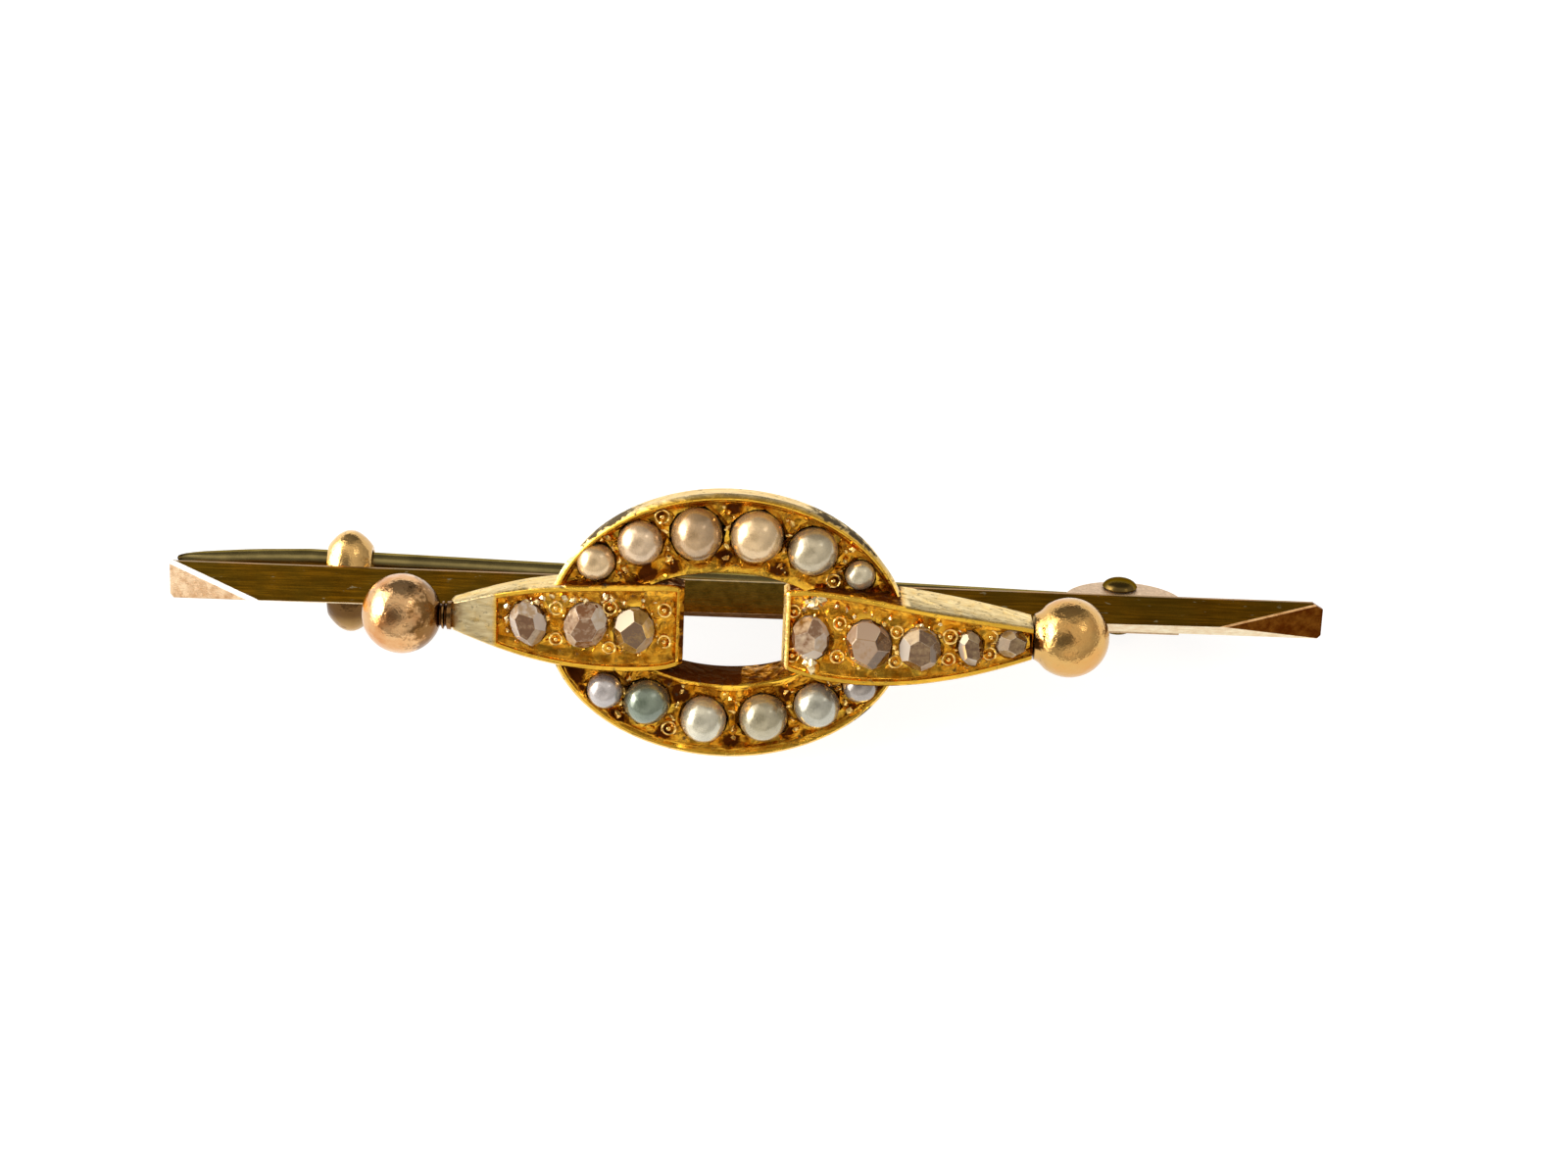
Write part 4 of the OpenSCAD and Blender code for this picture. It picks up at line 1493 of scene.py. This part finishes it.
def model_stone(stone, s, seed):
    """A rose-cut stone: flat back, low wall, two rows of facets and a small table, all slightly uneven."""
    bm = new_mesh()
    dice = random.Random(seed)
    sink, rise = 0.2, 0.4 * stone.w
    height = sink + rise
    blank = bmesh.ops.create_cone(bm, cap_ends=True, segments=14, radius1=1, radius2=0.98, depth=height)
    shift(bm, blank["verts"], (0, 0, height / 2))
    # Two rows of facets: how many, bearing of the first, run for the stone's rise, and height of the foot
    for count, start, run, foot in ((6, 0, 0.55, 0.06), (7, 25, 0.18, 0.02)):
        for k in range(count):
            bearing = math.radians(start + 360 * k / count + dice.uniform(-12, 12))
            steep = rise / run * dice.uniform(0.75, 1.15)
            out = Vector((math.cos(bearing), math.sin(bearing), 0))
            slice_off(bm, out + UP * (sink + foot + dice.uniform(0.0, 0.08)), out * steep + UP)
    bmesh.ops.scale(bm, vec=(stone.w / 2, stone.h / 2, 1), verts=bm.verts)
    bmesh.ops.recalc_face_normals(bm, faces=bm.faces)
    tone = bm.faces.layers.float.new("tone")
    # Each facet is painted a tone: painted reflections and shade
    for f in bm.faces:
        f[tone] = dice.choice((0.0, 0.08, 0.25, 0.45, 0.7, 1.0, 1.3))
    # The bevelled facet edges are painted pale, as highlights
    for f in bevel(bm, bm.edges[:], 0.022):
        f[tone] = dice.choice((0.7, 1.1, 1.5))
    bmesh.ops.transform(bm, matrix=stone_place(stone, s) @ Matrix.Translation((0, 0, -sink)), verts=bm.verts)
    return bm


class BROOCH_OT_stones(bpy.types.Operator):
    """Model the eight rose-cut stones"""

    bl_idname = "brooch.stones"
    bl_label = "Stones"

    def execute(self, context):
        s = sizes_of("straps")
        for k, stone in enumerate(STONES):
            glass = material("stone_" + stone.tint, cut_stone, *STONE_TINTS[stone.tint])
            bm = model_stone(stone, s, 60 + k)
            finish_piece(bm, "cut_" + stone.node, glass, node=stone.node, smooth_under=5)
        return {"FINISHED"}


# The stage: white table, soft light from the left and above, and the camera

# Dark and bright parts of the room: direction, inner and outer half-angle of the patch in degrees,
# and what it multiplies the light by or adds to it
DIM_PATCHES = table(
    "towards inner outer share",
    ((0.0, 0.9, 0.42), 26, 44, 0.3),
    ((-0.25, -0.50, 0.83), 12, 40, 0.22),
)
BRIGHT_PATCHES = table(
    "towards inner outer more",
    ((-0.88, 0.05, 0.43), 16, 22, 5.0),
    ((-0.98, 0.12, 0.10), 28, 44, 4.0),
    ((-0.60, 0.50, 0.60), 10, 17, 1.6),
    ((0.0, -0.87, 0.49), 10, 30, 0.3),
    ((0.55, 0.2, 0.8), 5, 9, 1.6),
)


class Sky(Nodes):
    """The light that comes from each direction, as a few soft lobes."""

    def __init__(self, world):
        super().__init__(world)
        self.tree.nodes.clear()
        self.direction = self.node("TexCoord").outputs["Generated"]

    def lobe(self, towards, inner, outer, inside, outside=0.0):
        """A value inside a cone of half-angle inner, fading to another at outer."""
        inputs = ((0, self.direction), (1, Vector(towards).normalized()))
        near = self.node("VectorMath", inputs, operation="DOT_PRODUCT").outputs["Value"]
        low, high = (math.cos(math.radians(a)) for a in (outer, inner))
        return self.span(near, low, high, outside, inside, "SMOOTHSTEP")


def light_sky(world):
    """A wide window on the left, a dim room behind and to the right, and the dark camera overhead."""
    sky = Sky(world)
    light = sky.lobe((0, 0, 1), 20, 100, 0.85, 0.45)
    for patch in DIM_PATCHES:
        light = sky.math("MULTIPLY", light, sky.lobe(patch.towards, patch.inner, patch.outer, patch.share, 1.0))
    for patch in BRIGHT_PATCHES:
        light = sky.math("ADD", light, sky.lobe(patch.towards, patch.inner, patch.outer, patch.more))
    lit = sky.node("Background", (("Color", (1.0, 0.95, 0.88)), ("Strength", light))).outputs["Background"]
    plain = sky.node("Background", (("Color", (1.0, 1.0, 1.0)),)).outputs["Background"]
    seen = sky.node("LightPath").outputs["Is Camera Ray"]
    mix = sky.node("MixShader", (("Fac", seen), (1, lit), (2, plain))).outputs["Shader"]
    sky.node("OutputWorld", (("Surface", mix),))


def white_table():
    """A table so bright that it stays white, with only a breath of shadow."""
    bm = bmesh.new()
    bmesh.ops.create_grid(bm, x_segments=1, y_segments=1, size=1.5)
    top = mesh_object(bm, "table")
    paper = bpy.data.materials.new("white_paper")
    nodes = Nodes(paper)
    nodes.fill(
        nodes.tree.nodes["Principled BSDF"], Base_Color=(0.3, 0.3, 0.3), Roughness=0.9,
        Specular_IOR_Level=0.0, Emission_Color=(1, 1, 1), Emission_Strength=0.85,
    )
    top.data.materials.append(paper)


# Where the photograph was taken from, in the brooch's own frame
EYE_TILT = 20.0
EYE_DISTANCE = 130.0
EYE_AIM = (0.0, 0.0, 1.0)
EYE_ROLL = 2.1
FOCAL_PIXELS = 3424.0
FRAME_WIDTH, FRAME_HEIGHT = 1600.0, 1200.0
AIM_PIXEL = (760.9, 622.4)
SENSOR = 36.0


def place_camera():
    """The camera at the photograph's place, aimed so that the brooch falls where it does there."""
    tilt, roll = math.radians(EYE_TILT), math.radians(EYE_ROLL)
    towards_eye = Vector((0, math.sin(tilt), math.cos(tilt)))
    place = lay_down()
    eye = place @ (Vector(EYE_AIM) + towards_eye * EYE_DISTANCE)
    turn = place.to_3x3().normalized()
    forward = -(turn @ towards_eye)
    level_right = turn @ Vector((1, 0, 0))
    level_up = level_right.cross(forward)
    right = level_right * math.cos(roll) + level_up * math.sin(roll)
    up = level_up * math.cos(roll) - level_right * math.sin(roll)
    across = (FRAME_WIDTH / 2 - AIM_PIXEL[0]) / FOCAL_PIXELS
    above = (AIM_PIXEL[1] - FRAME_HEIGHT / 2) / FOCAL_PIXELS
    forward = (forward + right * across + up * above).normalized()
    right = forward.cross(up).normalized()
    up = right.cross(forward)
    lens = bpy.data.cameras.new("camera")
    lens.sensor_width = SENSOR
    lens.lens = FOCAL_PIXELS * SENSOR / FRAME_WIDTH
    lens.clip_start = 0.005
    lens.clip_end = 10
    camera = add_object("camera", lens)
    camera.matrix_world = Matrix.Translation(eye) @ Matrix((right, up, -forward)).transposed().to_4x4()
    bpy.context.scene.camera = camera


class BROOCH_OT_stage(bpy.types.Operator):
    """Set the white table, the light and the camera"""

    bl_idname = "brooch.stage"
    bl_label = "Stage"

    def execute(self, context):
        scene = context.scene
        white_table()
        place_camera()
        world = scene.world or bpy.data.worlds.new("sky")
        scene.world = world
        light_sky(world)
        scene.view_settings.view_transform = "Standard"
        return {"FINISHED"}


# The add-on


class BROOCH_PT_panel(bpy.types.Panel):
    """Lists the brooch's pieces"""

    bl_idname = "BROOCH_PT_panel"
    bl_label = "Pearl Bar Brooch"
    bl_space_type = "VIEW_3D"
    bl_region_type = "UI"
    bl_category = "Brooch"

    def draw(self, context):
        for group in SETTINGS:
            box = self.layout.box()
            for key in SETTINGS[group].__annotations__:
                box.prop(getattr(context.scene, group), key)
        for operator in OPERATORS:
            self.layout.operator(operator.bl_idname)


SETTINGS = {
    "brooch_bar": BroochBarSettings,
    "brooch_ring": BroochRingSettings,
    "brooch_straps": BroochStrapSettings,
    "brooch_back": BroochBackSettings,
    "brooch_finish": BroochFinishSettings,
}
OPERATORS = (
    BROOCH_OT_bar,
    BROOCH_OT_ring,
    BROOCH_OT_straps,
    BROOCH_OT_balls,
    BROOCH_OT_hinge,
    BROOCH_OT_pin,
    BROOCH_OT_catch,
    BROOCH_OT_pearls,
    BROOCH_OT_stones,
    BROOCH_OT_stage,
)


def register():
    for group in SETTINGS.values():
        bpy.utils.register_class(group)
    for name, group in SETTINGS.items():
        setattr(bpy.types.Scene, name, PointerProperty(type=group))
    for operator in OPERATORS:
        bpy.utils.register_class(operator)
    bpy.utils.register_class(BROOCH_PT_panel)


def unregister():
    bpy.utils.unregister_class(BROOCH_PT_panel)
    for operator in reversed(OPERATORS):
        bpy.utils.unregister_class(operator)
    for name in SETTINGS:
        delattr(bpy.types.Scene, name)
    for group in reversed(SETTINGS.values()):
        bpy.utils.unregister_class(group)


def main():
    register()
    bpy.ops.brooch.bar()
    bpy.ops.brooch.ring()
    bpy.ops.brooch.straps()
    bpy.ops.brooch.balls()
    bpy.ops.brooch.hinge()
    bpy.ops.brooch.pin()
    bpy.ops.brooch.catch()
    bpy.ops.brooch.pearls()
    bpy.ops.brooch.stones()
    bpy.ops.brooch.stage()
    bpy.context.view_layer.update()


if __name__ == "__main__":
    main()
